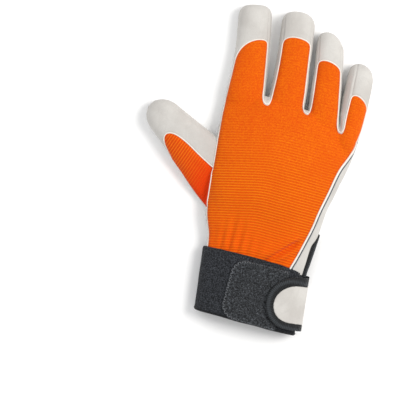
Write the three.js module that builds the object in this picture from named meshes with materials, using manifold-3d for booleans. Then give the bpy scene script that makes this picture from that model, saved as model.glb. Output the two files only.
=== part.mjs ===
// A right-hand work glove lying palm down: sheepskin palm, finger sides and fingertips, a ribbed
// knit back, a deep knit cuff open at the little-finger side, and a closing strap over it.
// Millimetres. +Y runs to the fingertips, +X to the little finger, +Z up from the floor.
// The walls come from one hollow hand: a palm, four fingers and a thumb are lofted, joined and
// hollowed, and the panels are then cut out of that wall along their seams.

import * as THREE from 'three';
import { mergeVertices } from 'three/addons/utils/BufferGeometryUtils.js';
import Module from 'manifold-3d';

const wasm = await Module();
wasm.setup();

// Walls and the gap that every seam keeps
const WALL = 1.4;
const CUFF_WALL = 2.2;
const SEAM_GAP = 0.3;

// Palm, from the end tucked in the cuff to the knuckle line between the fingers
const PALM_LENGTH = 132;
const PALM_WIDTH = 113;
const PALM_HEIGHT = 28;
const PALM_TUCK = 3.6;

// Each row gives shares: along the palm's length, its two sides of the palm's width, and its top
// of the palm's height.
const PALM_ROWS = [
  { along: 0.1, left: -0.42, right: 0.355, top: 0.79 },
  { along: 0.25, left: -0.482, right: 0.362, top: 0.9 },
  { along: 0.42, left: -0.508, right: 0.37, top: 1 },
  { along: 0.6, left: -0.527, right: 0.405, top: 1 },
  { along: 0.76, left: -0.545, right: 0.437, top: 0.95 },
  { along: 0.9, left: -0.556, right: 0.462, top: 0.86 },
  { along: 0.97, left: -0.555, right: 0.465, top: 0.74 },
  { along: 1, left: -0.545, right: 0.46, top: 0.56 },
];

// The knuckle line: how far the palm reaches at a place across its width, of its length
const KNUCKLE_ROWS = [
  { across: -0.56, reach: 1 },
  { across: -0.41, reach: 1.01 },
  { across: -0.26, reach: 1.035 },
  { across: 0.02, reach: 1.02 },
  { across: 0.32, reach: 0.95 },
  { across: 0.47, reach: 0.87 },
];

// Folds that the cuff gathers into the back: the place across the wrist and the width of the
// palm's width, the depth of the palm's height, the reach of the palm's length, and how far the
// fold drifts across, of the palm's width, over that reach.
const FOLD_ROWS = [
  { across: -0.3, width: 0.035, depth: 0.05, reach: 0.2, drift: -0.03 },
  { across: -0.2, width: 0.032, depth: 0.075, reach: 0.26, drift: -0.02 },
  { across: -0.12, width: 0.03, depth: 0.06, reach: 0.2, drift: 0.01 },
  { across: -0.03, width: 0.034, depth: 0.05, reach: 0.16, drift: 0.02 },
  { across: 0.1, width: 0.05, depth: 0.06, reach: 0.2, drift: 0.13 },
];

// Fingers: the root's place across and along the palm, of its width and length, then the length
// and the widths in the middle and at the root, of the middle finger's, and in degrees the lean at
// the root and how much more each one leans at its tip
const FINGER_LENGTH = 98;
const FINGER_WIDTH = 27.2;
const FINGER_HEIGHT = 19.5;
const FINGER_ROOT = 18;
const FINGERS = [
  { name: 'index', across: -0.412, along: 0.866, length: 0.96, width: 0.99, root: 1.18, lean: 1, curl: 12 },
  { name: 'middle', across: -0.102, along: 0.869, length: 1, width: 1, root: 1.14, lean: 2, curl: 8 },
  { name: 'ring', across: 0.19, along: 0.829, length: 0.944, width: 0.94, root: 1.08, lean: 6, curl: 6 },
  { name: 'little', across: 0.372, along: 0.77, length: 0.837, width: 0.8, root: 0.76, lean: -3, curl: 8 },
];

// Knit tongues up the fingers: the insets of their two sides, of the finger's width, and where
// each side ends, of the finger's length
const TONGUES = {
  index: { leftInset: 0.037, rightInset: 0.074, leftEnd: 0.447, rightEnd: 0.67 },
  middle: { leftInset: 0.096, rightInset: 0.074, leftEnd: 0.714, rightEnd: 0.719 },
  ring: { leftInset: 0.173, rightInset: 0.071, leftEnd: 0.708, rightEnd: 0.654 },
  little: { leftInset: 0.275, rightInset: 0.064, leftEnd: 0.634, rightEnd: 0.549 },
};

// Shares of a finger's length, width and height, and how far its width is that of the root
const FINGER_ROWS = [
  { along: 0, width: 0.88, root: 1, height: 0.86 },
  { along: 0.2, width: 1, root: 1, height: 1.08 },
  { along: 0.45, width: 1.02, root: 0.35, height: 1.02 },
  { along: 0.75, width: 1, root: 0, height: 0.98 },
  { along: 1, width: 0.96, root: 0, height: 0.94 },
];
const TIP_ROUNDING = 13;

// Thumb
const THUMB_LENGTH = 92;
const THUMB_WIDTH = 37;
const THUMB_HEIGHT = 21;
const THUMB_LEAN = 58;
const THUMB_ROOT = { across: -0.355, along: 0.425 };
const THUMB_ROWS = [
  { along: 0, width: 1.4, root: 0, height: 0.5 },
  { along: 0.11, width: 1.37, root: 0, height: 0.56 },
  { along: 0.25, width: 1.24, root: 0, height: 0.72 },
  { along: 0.41, width: 1.1, root: 0, height: 0.92 },
  { along: 0.62, width: 0.93, root: 0, height: 1 },
  { along: 0.83, width: 0.8, root: 0, height: 0.98 },
  { along: 1, width: 0.76, root: 0, height: 0.92 },
];

// The thumb's seam in the palm, of the palm's width and length
const THUMB_SEAM_ROWS = [
  { across: -0.32, along: 0.735 },
  { across: -0.21, along: 0.52 },
  { across: -0.175, along: 0.35 },
  { across: -0.2, along: 0.2 },
  { across: -0.28, along: 0.15 },
];
const THUMB_SEAM_HEEL = 0.235;
const THUMB_SEAM_WEB = 0.79;

// Heights of the seams above the floor
const BACK_SEAM = 10;
const TIP_SEAM = 9;
const SIDE_SEAM = 5;
const THUMB_SEAM = 6;

// The light welt along the little-finger side of the knit, inset by shares of the palm's width
const WELT_WIDTH = 2.2;
const WELT_ROWS = [
  { along: 0, inset: 0.137 },
  { along: 0.2, inset: 0.086 },
  { along: 0.35, inset: 0.048 },
  { along: 0.6, inset: 0.035 },
  { along: 0.88, inset: 0.032 },
];
const WELT_END = 0.84;

// Slit in the little-finger side of the wrist, and the binding round it
const SLIT_LENGTH = 33;
const SLIT_WIDTH = 6;
const SLIT_HEIGHT = 7.5;
const SLIT_BINDING = 3.2;
const SLIT_REACH = 12;
const BINDING_PROUD = 0.7;

// Cuff, its mouth shifted sideways from its top. Places across the cuff are shares of its width
// from its middle, and places along it shares of its length from its mouth.
const CUFF_WIDTH = 87;
const CUFF_LENGTH = 53;
const CUFF_DEPTH = 23.5;
const CUFF_SHIFT = 6;
const CUFF_MIDDLE = -5.5;
const CUFF_OPENS = CUFF_MIDDLE + 0.408 * CUFF_WIDTH;
const CUFF_SPLIT = 0.47 * CUFF_DEPTH;

// Pile patch on the back of the cuff, which the strap grips
const PATCH_WALL = 1;
const PATCH_START = CUFF_MIDDLE - 0.184 * CUFF_WIDTH;
const PATCH_END = CUFF_MIDDLE + 0.362 * CUFF_WIDTH;
const PATCH_MARGIN = 0.075 * CUFF_LENGTH;
const PATCH_CORNER = 12;

// Closing strap, from the palm side of the cuff round the slit to the patch
const STRAP_WALL = 1.8;
const STRAP_WIDTH = 0.81 * CUFF_LENGTH;
const STRAP_END = CUFF_MIDDLE + 0.208 * CUFF_WIDTH;
const STRAP_LEVEL = 0.464 * CUFF_LENGTH;
const STRAP_TILT = 5;
const STRAP_BINDING = 6.2;
const STRAP_DROP = 1;

// The palm starts inside the cuff. Blocks that cut a wall from above reach up past the glove.
const WRIST_Y = CUFF_LENGTH - PALM_TUCK;
const REACH_UP = PALM_HEIGHT * 2;
const REACH_OUT = PALM_WIDTH * 2;
const BELOW = 2;

// A smooth curve through one column of a table, read at a place given by its first column
function read(rows, key, column, at) {
  const last = rows.length - 1;
  if (at <= rows[0][key]) return rows[0][column];
  if (at >= rows[last][key]) return rows[last][column];
  let i = 0;
  while (at > rows[i + 1][key]) i++;
  const slope = (a, b) => (rows[b][column] - rows[a][column]) / (rows[b][key] - rows[a][key]);
  const here = slope(i, i + 1);
  const before = i > 0 ? slope(i - 1, i) : here;
  const after = i + 1 < last ? slope(i + 1, i + 2) : here;
  const tangent = (a, b) => (a * b <= 0 ? 0 : (2 * a * b) / (a + b));
  const span = rows[i + 1][key] - rows[i][key];
  const t = (at - rows[i][key]) / span;
  const bend = (from, to) => from * span * t * (1 - t) ** 2 - to * span * t * t * (1 - t);
  const straight = rows[i][column] + (rows[i + 1][column] - rows[i][column]) * t * t * (3 - 2 * t);
  return straight + bend(tangent(before, here), tangent(here, after));
}

// A closed geometry lofted through loops of points that all have the same count
function loft(loops, flat) {
  const count = loops[0].length;
  const position = loops.flat().flatMap((p) => [p.x, p.y, p.z]);
  const index = [];
  for (let i = 0; i + 1 < loops.length; i++) {
    for (let k = 0; k < count; k++) {
      const a = i * count + k;
      const b = i * count + ((k + 1) % count);
      index.push(a, b, b + count, a, b + count, a + count);
    }
  }
  const cap = THREE.ShapeUtils.triangulateShape(flat, []);
  const end = (loops.length - 1) * count;
  for (const [a, b, c] of cap) {
    index.push(a, c, b, end + a, end + b, end + c);
  }
  const geometry = new THREE.BufferGeometry();
  geometry.setAttribute('position', new THREE.Float32BufferAttribute(position, 3));
  geometry.setIndex(index);
  return geometry;
}

// A three.js geometry as a solid that can be cut and joined, with its faces pointing out
function solid(geometry) {
  geometry.deleteAttribute('normal');
  geometry.deleteAttribute('uv');
  const merged = mergeVertices(geometry, 1e-4);
  const vertProperties = new Float32Array(merged.attributes.position.array);
  const triVerts = new Uint32Array(merged.index.array);
  const made = new wasm.Manifold(new wasm.Mesh({ numProp: 3, vertProperties, triVerts }));
  if (made.volume() > 0) return made;
  for (let i = 0; i < triVerts.length; i += 3) {
    [triVerts[i + 1], triVerts[i + 2]] = [triVerts[i + 2], triVerts[i + 1]];
  }
  return new wasm.Manifold(new wasm.Mesh({ numProp: 3, vertProperties, triVerts }));
}

const joined = (solids) => solids.reduce((whole, next) => whole.add(next));

// An upright block over a plan outline
function upright(outline, low, high = REACH_UP) {
  const depth = high - low;
  const shape = new THREE.Shape(outline);
  const block = new THREE.ExtrudeGeometry(shape, { depth, bevelEnabled: false });
  return solid(block.translate(0, 0, low));
}

// An upright block over a rectangle in plan
function uprightBox([fromX, toX], [fromY, toY], low, high) {
  const corners = [[fromX, fromY], [toX, fromY], [toX, toY], [fromX, toY]];
  return upright(corners.map(([x, y]) => new THREE.Vector2(x, y)), low, high);
}

// An outline moved outwards by a distance, for outlines that run anticlockwise
function grown(outline, by) {
  return outline.map((point, i) => {
    const before = outline.at(i - 1);
    const after = outline[(i + 1) % outline.length];
    const a = point.clone().sub(before).normalize();
    const b = after.clone().sub(point).normalize();
    const out = new THREE.Vector2(a.y + b.y, -a.x - b.x);
    const spread = Math.max(out.length() / 2, 0.5);
    return point.clone().addScaledVector(out.normalize(), by / spread);
  });
}

// One cross-section: a rounded loop between two sides, flat where it lies on its base
const SECTION_MIDDLE = 0.42;
const SECTION_ROUND = 2.3;
const SECTION_SQUARE = 2.6;
const SECTION_SAG = 1.35;
function section(left, right, base, top, sides) {
  const middle = base + (top - base) * SECTION_MIDDLE;
  const points = [];
  for (let k = 0; k < sides; k++) {
    const angle = (2 * Math.PI * k) / sides;
    const across = Math.cos(angle);
    const up = Math.sin(angle);
    const power = 2 / (up > 0 ? SECTION_ROUND : SECTION_SQUARE);
    const reach = up > 0 ? top - middle : (middle - base) * SECTION_SAG;
    const u = (left + right) / 2 + ((right - left) / 2) * Math.sign(across) * Math.abs(across) ** power;
    const z = middle + reach * Math.sign(up) * Math.abs(up) ** power;
    points.push(new THREE.Vector2(u, Math.max(z, base)));
  }
  return points;
}

// Palm

const PALM_SIDES = 32;
const CUFF_SIDES = 32;
const cuffTopSides = () => ({
  left: CUFF_MIDDLE - CUFF_WIDTH / 2,
  right: CUFF_MIDDLE + CUFF_WIDTH / 2,
});

// The palm's two sides, base and top at a place along it. Its end fits in the cuff.
function palmAt(along) {
  const seat = CUFF_WALL + SEAM_GAP;
  const drift = (CUFF_SHIFT * PALM_TUCK) / CUFF_LENGTH;
  const cuff = cuffTopSides();
  const first = PALM_ROWS[0].along;
  const out = Math.min(Math.max((along - TUCK_SHARE) / (first - TUCK_SHARE), 0), 1);
  const mix = (tucked, free) => tucked + (free - tucked) * out * out * (3 - 2 * out);
  return {
    left: mix(cuff.left + seat + drift, PALM_WIDTH * read(PALM_ROWS, 'along', 'left', along)),
    right: mix(cuff.right - seat, PALM_WIDTH * read(PALM_ROWS, 'along', 'right', along)),
    base: mix(seat, 0),
    top: mix(CUFF_DEPTH - seat, PALM_HEIGHT * read(PALM_ROWS, 'along', 'top', along)),
  };
}

const knuckle = (x) => PALM_LENGTH * read(KNUCKLE_ROWS, 'across', 'reach', x / PALM_WIDTH);
const palmY = (x, along) => WRIST_Y + along * knuckle(x);

// How deep the gathers press into the back at a point
function foldDepth(x, along) {
  let depth = 0;
  for (const fold of FOLD_ROWS) {
    const run = along / fold.reach;
    if (run > 1) continue;
    const centre = PALM_WIDTH * (fold.across + fold.drift * run);
    const aside = (x - centre) / (PALM_WIDTH * fold.width);
    depth += PALM_HEIGHT * fold.depth * (1 - run) * Math.exp(-aside * aside);
  }
  return depth;
}

const PALM_STEPS = 12;
const TUCK_SHARE = (PALM_TUCK + SEAM_GAP) / PALM_LENGTH;
function palm(inset) {
  const first = inset > 0 ? -TUCK_SHARE : 0;
  const last = 1 - inset / PALM_LENGTH;
  const steps = Array.from({ length: PALM_STEPS + 1 }, (_, i) => (
    TUCK_SHARE + ((last - TUCK_SHARE) * i) / PALM_STEPS
  ));
  const loops = [first, ...steps].map((along) => {
    const row = palmAt(along);
    const base = Math.max(row.base + inset, 0);
    const loop = section(row.left + inset, row.right - inset, base, row.top - inset, PALM_SIDES);
    return loop.map(({ x, y: z }) => {
      const lifted = z > (row.base + row.top) / 2 ? z - foldDepth(x, along) : z;
      return new THREE.Vector3(x, palmY(x, along), lifted);
    });
  });
  const row = palmAt(0);
  return solid(loft(loops, section(row.left, row.right, row.base, row.top, PALM_SIDES)));
}

// Fingers and thumb are digits: a bent centreline, shares of a width and height, and a round tip

function digitAt(digit, distance) {
  const share = distance / digit.length;
  const turn = THREE.MathUtils.degToRad(digit.lean + digit.curl * share);
  const half = THREE.MathUtils.degToRad(digit.lean + (digit.curl * share) / 2);
  const centre = digit.start.clone().add(
    new THREE.Vector2(-Math.sin(half), Math.cos(half)).multiplyScalar(distance),
  );
  const forward = new THREE.Vector2(-Math.sin(turn), Math.cos(turn));
  const right = new THREE.Vector2(forward.y, -forward.x);
  const spread = (digit.rootWidth - digit.width) * read(digit.rows, 'along', 'root', share);
  const width = digit.width * read(digit.rows, 'along', 'width', share) + spread;
  const height = digit.height * read(digit.rows, 'along', 'height', share);
  return { centre, forward, right, width, height };
}

const TIP_POWER = 2.3;
const TIP_BLUNT = 0.3;
function tipShare(distance) {
  const left = 1 - Math.min(Math.max(distance, 0) / TIP_ROUNDING, 1);
  return Math.max((1 - left ** TIP_POWER) ** (1 / TIP_POWER), TIP_BLUNT);
}

const DIGIT_SIDES = 14;
const SHAFT_STEPS = 5;
const TIP_STEPS = [1, 0.6, 0.3, 0.1, 0];
function digitSolid(digit, inset) {
  const shaft = digit.length - TIP_ROUNDING - inset;
  const places = Array.from({ length: SHAFT_STEPS }, (_, i) => (shaft * i) / SHAFT_STEPS);
  const ends = TIP_STEPS.map((step) => digit.length - inset - TIP_ROUNDING * step);
  const loops = [...places, ...ends].map((distance) => {
    const at = digitAt(digit, distance);
    const round = tipShare(digit.length - inset - distance);
    const half = (at.width / 2 - inset) * round;
    const lift = at.height * (1 - round) * SECTION_MIDDLE;
    const top = inset + lift + (at.height - 2 * inset) * round;
    return section(-half, half, inset + lift, top, DIGIT_SIDES).map(({ x: u, y: z }) => (
      new THREE.Vector3(at.centre.x + at.right.x * u, at.centre.y + at.right.y * u, z)
    ));
  });
  return solid(loft(loops, section(-1, 1, 0, 1, DIGIT_SIDES)));
}

const fingers = FINGERS.map((finger) => {
  const length = FINGER_LENGTH * finger.length;
  const width = FINGER_WIDTH * finger.width;
  const tongue = TONGUES[finger.name];
  return {
    ...finger,
    start: new THREE.Vector2(PALM_WIDTH * finger.across, WRIST_Y + PALM_LENGTH * finger.along),
    length,
    width,
    rootWidth: FINGER_WIDTH * finger.root,
    height: FINGER_HEIGHT,
    rows: FINGER_ROWS,
    leftInset: width * tongue.leftInset,
    rightInset: width * tongue.rightInset,
    leftEnd: length * tongue.leftEnd,
    rightEnd: length * tongue.rightEnd,
  };
});

const thumb = {
  name: 'thumb',
  start: new THREE.Vector2(PALM_WIDTH * THUMB_ROOT.across, WRIST_Y + PALM_LENGTH * THUMB_ROOT.along),
  length: THUMB_LENGTH,
  width: THUMB_WIDTH,
  rootWidth: THUMB_WIDTH,
  height: THUMB_HEIGHT,
  lean: THUMB_LEAN,
  curl: 0,
  rows: THUMB_ROWS,
};

const digits = [...fingers, thumb];
const outer = joined([palm(0), ...digits.map((digit) => digitSolid(digit, 0))]);
const inner = joined([palm(WALL), ...digits.map((digit) => digitSolid(digit, WALL))]);
let wall = outer.subtract(inner);

// Takes a piece out of the wall and leaves the seam's gap round it
function cut(tool, clearance) {
  const piece = wall.intersect(tool);
  wall = wall.subtract(clearance);
  return piece;
}

// Knit back

// A point beside a digit's centreline, inset from its side: side is -1 for left and 1 for right
function beside(digit, distance, side, inset) {
  const at = digitAt(digit, distance);
  return at.centre.clone().addScaledVector(at.right, side * (at.width / 2 - inset));
}

// The round end of a finger's tongue, from its left side over to its right side
const TONGUE_STEPS = 7;
const TONGUE_SWELL = 0.34;
function tongueEnd(finger) {
  const { leftEnd, rightEnd } = finger;
  const a = beside(finger, leftEnd, -1, finger.leftInset);
  const b = beside(finger, rightEnd, 1, finger.rightInset);
  const swell = finger.width * TONGUE_SWELL;
  const push = (p, distance, by) => p.clone().addScaledVector(digitAt(finger, distance).forward, by);
  const late = Math.max(rightEnd - leftEnd, 0);
  const early = Math.max(leftEnd - rightEnd, 0);
  const c = push(a, leftEnd, swell + late * TONGUE_SWELL * 2);
  const d = push(b, rightEnd, swell / 2 + early * TONGUE_SWELL);
  return new THREE.CubicBezierCurve(a, c, d, b).getPoints(TONGUE_STEPS);
}

// The knit's edge round the crotch between two fingers, from the left finger to the right one
const CROTCH_START = 7;
const CROTCH_DEPTH = 9.5;
const CROTCH_STEPS = 6;
function crotchArc(left, right) {
  const from = beside(left, FINGER_ROOT + CROTCH_START, 1, left.rightInset);
  const to = beside(right, FINGER_ROOT + CROTCH_START, -1, right.leftInset);
  const centre = from.clone().add(to).divideScalar(2);
  const half = to.clone().sub(from).divideScalar(2);
  const down = digitAt(left, FINGER_ROOT).forward.clone().setLength(-CROTCH_DEPTH);
  return Array.from({ length: CROTCH_STEPS + 1 }, (_, i) => {
    const angle = (Math.PI * i) / CROTCH_STEPS;
    return centre.clone().addScaledVector(half, -Math.cos(angle))
      .addScaledVector(down, Math.sin(angle));
  });
}

const SIDE_STEPS = 5;
const LEFT_RIM = 1;
const LEFT_RIM_END = 0.9;
const PALM_SIDE_STEPS = 10;

// The sides of a tongue between a crotch and its round end
function tongueSide(finger, side) {
  const end = side < 0 ? finger.leftEnd : finger.rightEnd;
  const inset = side < 0 ? finger.leftInset : finger.rightInset;
  const start = FINGER_ROOT + CROTCH_START;
  return Array.from({ length: SIDE_STEPS }, (_, i) => (
    beside(finger, start + ((end - start) * (i + 0.5)) / SIDE_STEPS, side, inset)
  ));
}

function palmSide(side, inset, end) {
  return Array.from({ length: PALM_SIDE_STEPS + 1 }, (_, i) => {
    const along = (end * i) / PALM_SIDE_STEPS;
    const row = palmAt(along);
    const x = side < 0 ? row.left + inset(along) : row.right - inset(along);
    return new THREE.Vector2(x, palmY(x, along));
  });
}

const weltInset = (along) => PALM_WIDTH * read(WELT_ROWS, 'along', 'inset', along);

// The outline runs anticlockwise: down the thumb side from the index, along the wrist, up the
// little-finger side, and back over the four tongues.
function backOutline() {
  const points = [
    ...palmSide(-1, () => LEFT_RIM, LEFT_RIM_END).reverse(),
    ...palmSide(1, weltInset, WELT_END),
  ];
  const wrist = PALM_SIDE_STEPS;
  points[wrist].y -= CUFF_LENGTH / 2;
  points[wrist + 1].y -= CUFF_LENGTH / 2;
  for (let i = fingers.length - 1; i >= 0; i--) {
    points.push(...tongueSide(fingers[i], 1), ...tongueEnd(fingers[i]).reverse());
    points.push(...tongueSide(fingers[i], -1).reverse());
    if (i > 0) points.push(...crotchArc(fingers[i - 1], fingers[i]).reverse());
  }
  return points;
}

const back = backOutline();
const backPanel = cut(
  upright(back, BACK_SEAM),
  upright(grown(back, SEAM_GAP), BACK_SEAM - SEAM_GAP),
);

// Fingertip caps reach past the tip and are bounded there by their seam's height

function capOutline(finger) {
  const end = tongueEnd(finger);
  const over = finger.length + TIP_ROUNDING;
  const left = beside(finger, over, -1, finger.leftInset);
  const right = beside(finger, over, 1, finger.rightInset);
  return [...end, right, left];
}

const caps = fingers.map((finger) => {
  const outline = capOutline(finger);
  return cut(upright(outline, TIP_SEAM), upright(grown(outline, SEAM_GAP), TIP_SEAM - SEAM_GAP));
});

// Welt

function weltOutline() {
  const near = palmSide(1, (along) => weltInset(along) - SEAM_GAP, WELT_END);
  const far = palmSide(1, (along) => weltInset(along) - SEAM_GAP - WELT_WIDTH, WELT_END);
  near[0].y -= CUFF_LENGTH / 2;
  far[0].y -= CUFF_LENGTH / 2;
  return [...far, ...near.reverse()];
}

const welt = weltOutline();
const sideWelt = cut(
  upright(welt, BACK_SEAM),
  upright(grown(welt, SEAM_GAP), BACK_SEAM - SEAM_GAP),
);

// Slit: an upright V through the side wall, open at the cuff

const SLIT_STEPS = 8;
function slitBlock(by) {
  const tip = WRIST_Y + PALM_TUCK + SLIT_LENGTH + by;
  const low = -CUFF_LENGTH;
  const edge = (side) => Array.from({ length: SLIT_STEPS }, (_, i) => {
    const share = i / SLIT_STEPS;
    const half = (SLIT_WIDTH / 2) * Math.cos((share * Math.PI) / 2) ** 0.8 + by;
    return new THREE.Vector2(WRIST_Y + (tip - WRIST_Y) * share, SLIT_HEIGHT + side * half);
  });
  const blunt = new THREE.Vector2(tip, SLIT_HEIGHT);
  const outline = [
    new THREE.Vector2(WRIST_Y + low, SLIT_HEIGHT - SLIT_WIDTH / 2 - by),
    ...edge(-1),
    blunt,
    ...edge(1).reverse(),
    new THREE.Vector2(WRIST_Y + low, SLIT_HEIGHT + SLIT_WIDTH / 2 + by),
  ];
  const shape = new THREE.Shape(outline);
  const block = new THREE.ExtrudeGeometry(shape, { depth: PALM_WIDTH, bevelEnabled: false });
  // The extrusion's x, y and z become the part's y, z and x
  const turned = new THREE.Matrix4().makeBasis(
    new THREE.Vector3(0, 1, 0),
    new THREE.Vector3(0, 0, 1),
    new THREE.Vector3(1, 0, 0),
  );
  block.applyMatrix4(turned);
  return solid(block.translate(cuffTopSides().right - SLIT_REACH, 0, 0));
}

const aboveCuff = uprightBox(
  [-REACH_OUT, REACH_OUT],
  [CUFF_LENGTH + SEAM_GAP, CUFF_LENGTH + PALM_LENGTH],
  -BELOW,
);
wall = wall.subtract(slitBlock(SLIT_BINDING + SEAM_GAP));
const slitBinding = palm(-BINDING_PROUD).subtract(palm(WALL + BINDING_PROUD))
  .intersect(slitBlock(SLIT_BINDING)).subtract(slitBlock(0)).intersect(aboveCuff);

// Sides of the fingers, one strip from the tip of one finger through the crotch to the next tip

const FORK_STEPS = 8;
function forkOutline(left, right) {
  const middle = (digit, side, distance) => {
    const at = digitAt(digit, distance);
    return at.centre.clone().addScaledVector(at.right, (side * SEAM_GAP) / 2);
  };
  const run = (digit, side) => Array.from({ length: FORK_STEPS + 1 }, (_, i) => {
    const from = FINGER_ROOT - CROTCH_START;
    const to = digit.length + TIP_ROUNDING;
    return middle(digit, side, from + ((to - from) * i) / FORK_STEPS);
  });
  return [...run(left, 1).reverse(), ...run(right, -1)];
}

const forks = fingers.slice(1).map((right, i) => {
  const outline = forkOutline(fingers[i], right);
  const piece = cut(
    upright(outline, SIDE_SEAM),
    upright(grown(outline, SEAM_GAP), SIDE_SEAM - SEAM_GAP),
  );
  return { name: `fourchette_${fingers[i].name}_${right.name}`, piece };
});

// Thumb: its leather is let into the palm along a curved seam, and a knit panel covers its back

const THUMB_SEAM_STEPS = 14;
function thumbOutline() {
  const seam = THUMB_SEAM_ROWS.map(({ across, along }) => (
    new THREE.Vector2(PALM_WIDTH * across, WRIST_Y + PALM_LENGTH * along)
  ));
  const curve = new THREE.SplineCurve(seam).getPoints(THUMB_SEAM_STEPS);
  const edge = (along) => new THREE.Vector2(palmAt(along).left, palmY(palmAt(along).left, along));
  const heel = edge(THUMB_SEAM_HEEL);
  const web = edge(THUMB_SEAM_WEB);
  return [
    new THREE.Vector2(heel.x - WALL, heel.y - WALL),
    ...curve.reverse(),
    web,
    new THREE.Vector2(web.x - WALL, web.y + THUMB_HEIGHT / 2),
    new THREE.Vector2(-REACH_OUT, web.y + THUMB_LENGTH),
    new THREE.Vector2(-REACH_OUT, heel.y - WALL),
  ];
}

const thumbShape = thumbOutline();
let thumbLeather = cut(upright(thumbShape, -BELOW), upright(grown(thumbShape, SEAM_GAP), -BELOW));

// The knit panel on the thumb, from the palm up its middle, over its end and down its outer side
const THUMB_PANEL_ROWS = [
  { along: 0.01, across: 0.06 },
  { along: 0.24, across: 0.01 },
  { along: 0.46, across: -0.01 },
  { along: 0.58, across: -0.02 },
  { along: 0.67, across: -0.07 },
  { along: 0.72, across: -0.16 },
  { along: 0.725, across: -0.28 },
  { along: 0.68, across: -0.41 },
  { along: 0.6, across: -0.6 },
  { along: 0.01, across: -0.9 },
];
function thumbPanelOutline() {
  return THUMB_PANEL_ROWS.map(({ along, across }) => {
    const at = digitAt(thumb, THUMB_LENGTH * along);
    return at.centre.clone().addScaledVector(at.right, THUMB_WIDTH * across);
  });
}

const thumbPanelShape = thumbPanelOutline();
const thumbPanel = thumbLeather.intersect(upright(thumbPanelShape, THUMB_SEAM));
thumbLeather = thumbLeather.subtract(
  upright(grown(thumbPanelShape, SEAM_GAP), THUMB_SEAM - SEAM_GAP),
);

// Cuff: a band round the wrist, split at the little-finger side

const CUFF_STEPS = 4;
function cuffLoop(y, by) {
  const shift = CUFF_SHIFT * (1 - y / CUFF_LENGTH);
  const { left, right } = cuffTopSides();
  const base = Math.max(-by, 0);
  return section(left + shift - by, right + shift + by, base, CUFF_DEPTH + by, CUFF_SIDES);
}

const OVERRUN = 2;
function cuffSolid(by, overrun = 0) {
  const loops = Array.from({ length: CUFF_STEPS + 1 }, (_, i) => {
    const y = -overrun + ((CUFF_LENGTH + 2 * overrun) * i) / CUFF_STEPS;
    return cuffLoop(y, by).map(({ x, y: z }) => new THREE.Vector3(x, y, z));
  });
  return solid(loft(loops, cuffLoop(0, by)));
}

const cuff = cuffSolid(0).subtract(cuffSolid(-CUFF_WALL, OVERRUN))
  .subtract(uprightBox([CUFF_OPENS, REACH_OUT], [-OVERRUN, CUFF_LENGTH + OVERRUN], -BELOW, CUFF_SPLIT));

// Patch

const CORNER_STEPS = 6;
function patchOutline() {
  const low = PATCH_MARGIN;
  const high = CUFF_LENGTH - PATCH_MARGIN;
  const r = PATCH_CORNER;
  const corner = (x, y, from) => Array.from({ length: CORNER_STEPS + 1 }, (_, i) => {
    const angle = from + (Math.PI / 2) * (i / CORNER_STEPS);
    return new THREE.Vector2(x + r * Math.cos(angle), y + r * Math.sin(angle));
  });
  return [
    new THREE.Vector2(PATCH_END, low),
    new THREE.Vector2(PATCH_END, high),
    ...corner(PATCH_START + r, high - r, Math.PI / 2),
    ...corner(PATCH_START + r, low + r, Math.PI),
  ];
}

const patchIn = SEAM_GAP;
const patchOut = patchIn + PATCH_WALL;
const patch = cuffSolid(patchOut).subtract(cuffSolid(patchIn, OVERRUN))
  .intersect(upright(patchOutline(), CUFF_DEPTH / 2));

// Strap: a ribbon from the palm side's end of the cuff, round the slit, to the patch

const STRAP_LIFT = patchOut + SEAM_GAP;
function strapSkin(by, base, overrun) {
  const loop = (y) => {
    const cuffAt = cuffLoop(y, by);
    const xs = cuffAt.map(({ x }) => x);
    return section(Math.min(...xs), Math.max(...xs), base, CUFF_DEPTH + by, CUFF_SIDES);
  };
  const loops = [-overrun, CUFF_LENGTH + overrun].map((y) => (
    loop(y).map(({ x, y: z }) => new THREE.Vector3(x, y, z))
  ));
  return solid(loft(loops, loop(0)));
}

// The strap's plan on the back of the cuff: a half round end and two straight edges
const END_STEPS = 14;
function strapOutline(by, drop) {
  const radius = STRAP_WIDTH / 2 - by;
  const centre = new THREE.Vector2(STRAP_END + STRAP_WIDTH / 2, STRAP_LEVEL - drop);
  const end = Array.from({ length: END_STEPS + 1 }, (_, i) => {
    const angle = Math.PI / 2 + (Math.PI * i) / END_STEPS;
    return new THREE.Vector2(Math.cos(angle), Math.sin(angle)).multiplyScalar(radius).add(centre);
  });
  const straight = [-radius, radius].map((side) => new THREE.Vector2(REACH_OUT, centre.y + side));
  const pivot = new THREE.Vector2(STRAP_END + STRAP_WIDTH / 2, STRAP_LEVEL);
  const turn = THREE.MathUtils.degToRad(STRAP_TILT);
  return [...straight, ...end].map((point) => point.rotateAround(pivot, turn));
}

function strapRegion(by, drop) {
  const plan = strapOutline(by, drop);
  const rise = (CUFF_WIDTH / 2 + CUFF_MIDDLE - STRAP_END) * Math.sin(THREE.MathUtils.degToRad(STRAP_TILT));
  const [low, high] = [-1, 1].map((side) => STRAP_LEVEL - drop + rise + side * (STRAP_WIDTH / 2 - by));
  const under = uprightBox([CUFF_OPENS + SEAM_GAP, REACH_OUT], [low, high], -BELOW, CUFF_DEPTH / 2);
  return upright(plan, CUFF_DEPTH / 2 - BELOW).add(under);
}

const strapWhole = strapSkin(STRAP_LIFT + STRAP_WALL, 0, 0)
  .subtract(strapSkin(STRAP_LIFT, STRAP_WALL, OVERRUN));
const strap = strapWhole.intersect(strapRegion(STRAP_BINDING + SEAM_GAP, STRAP_DROP));
const strapBinding = strapWhole.intersect(strapRegion(0, 0))
  .subtract(strapRegion(STRAP_BINDING, STRAP_DROP));

// Finishes

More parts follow.
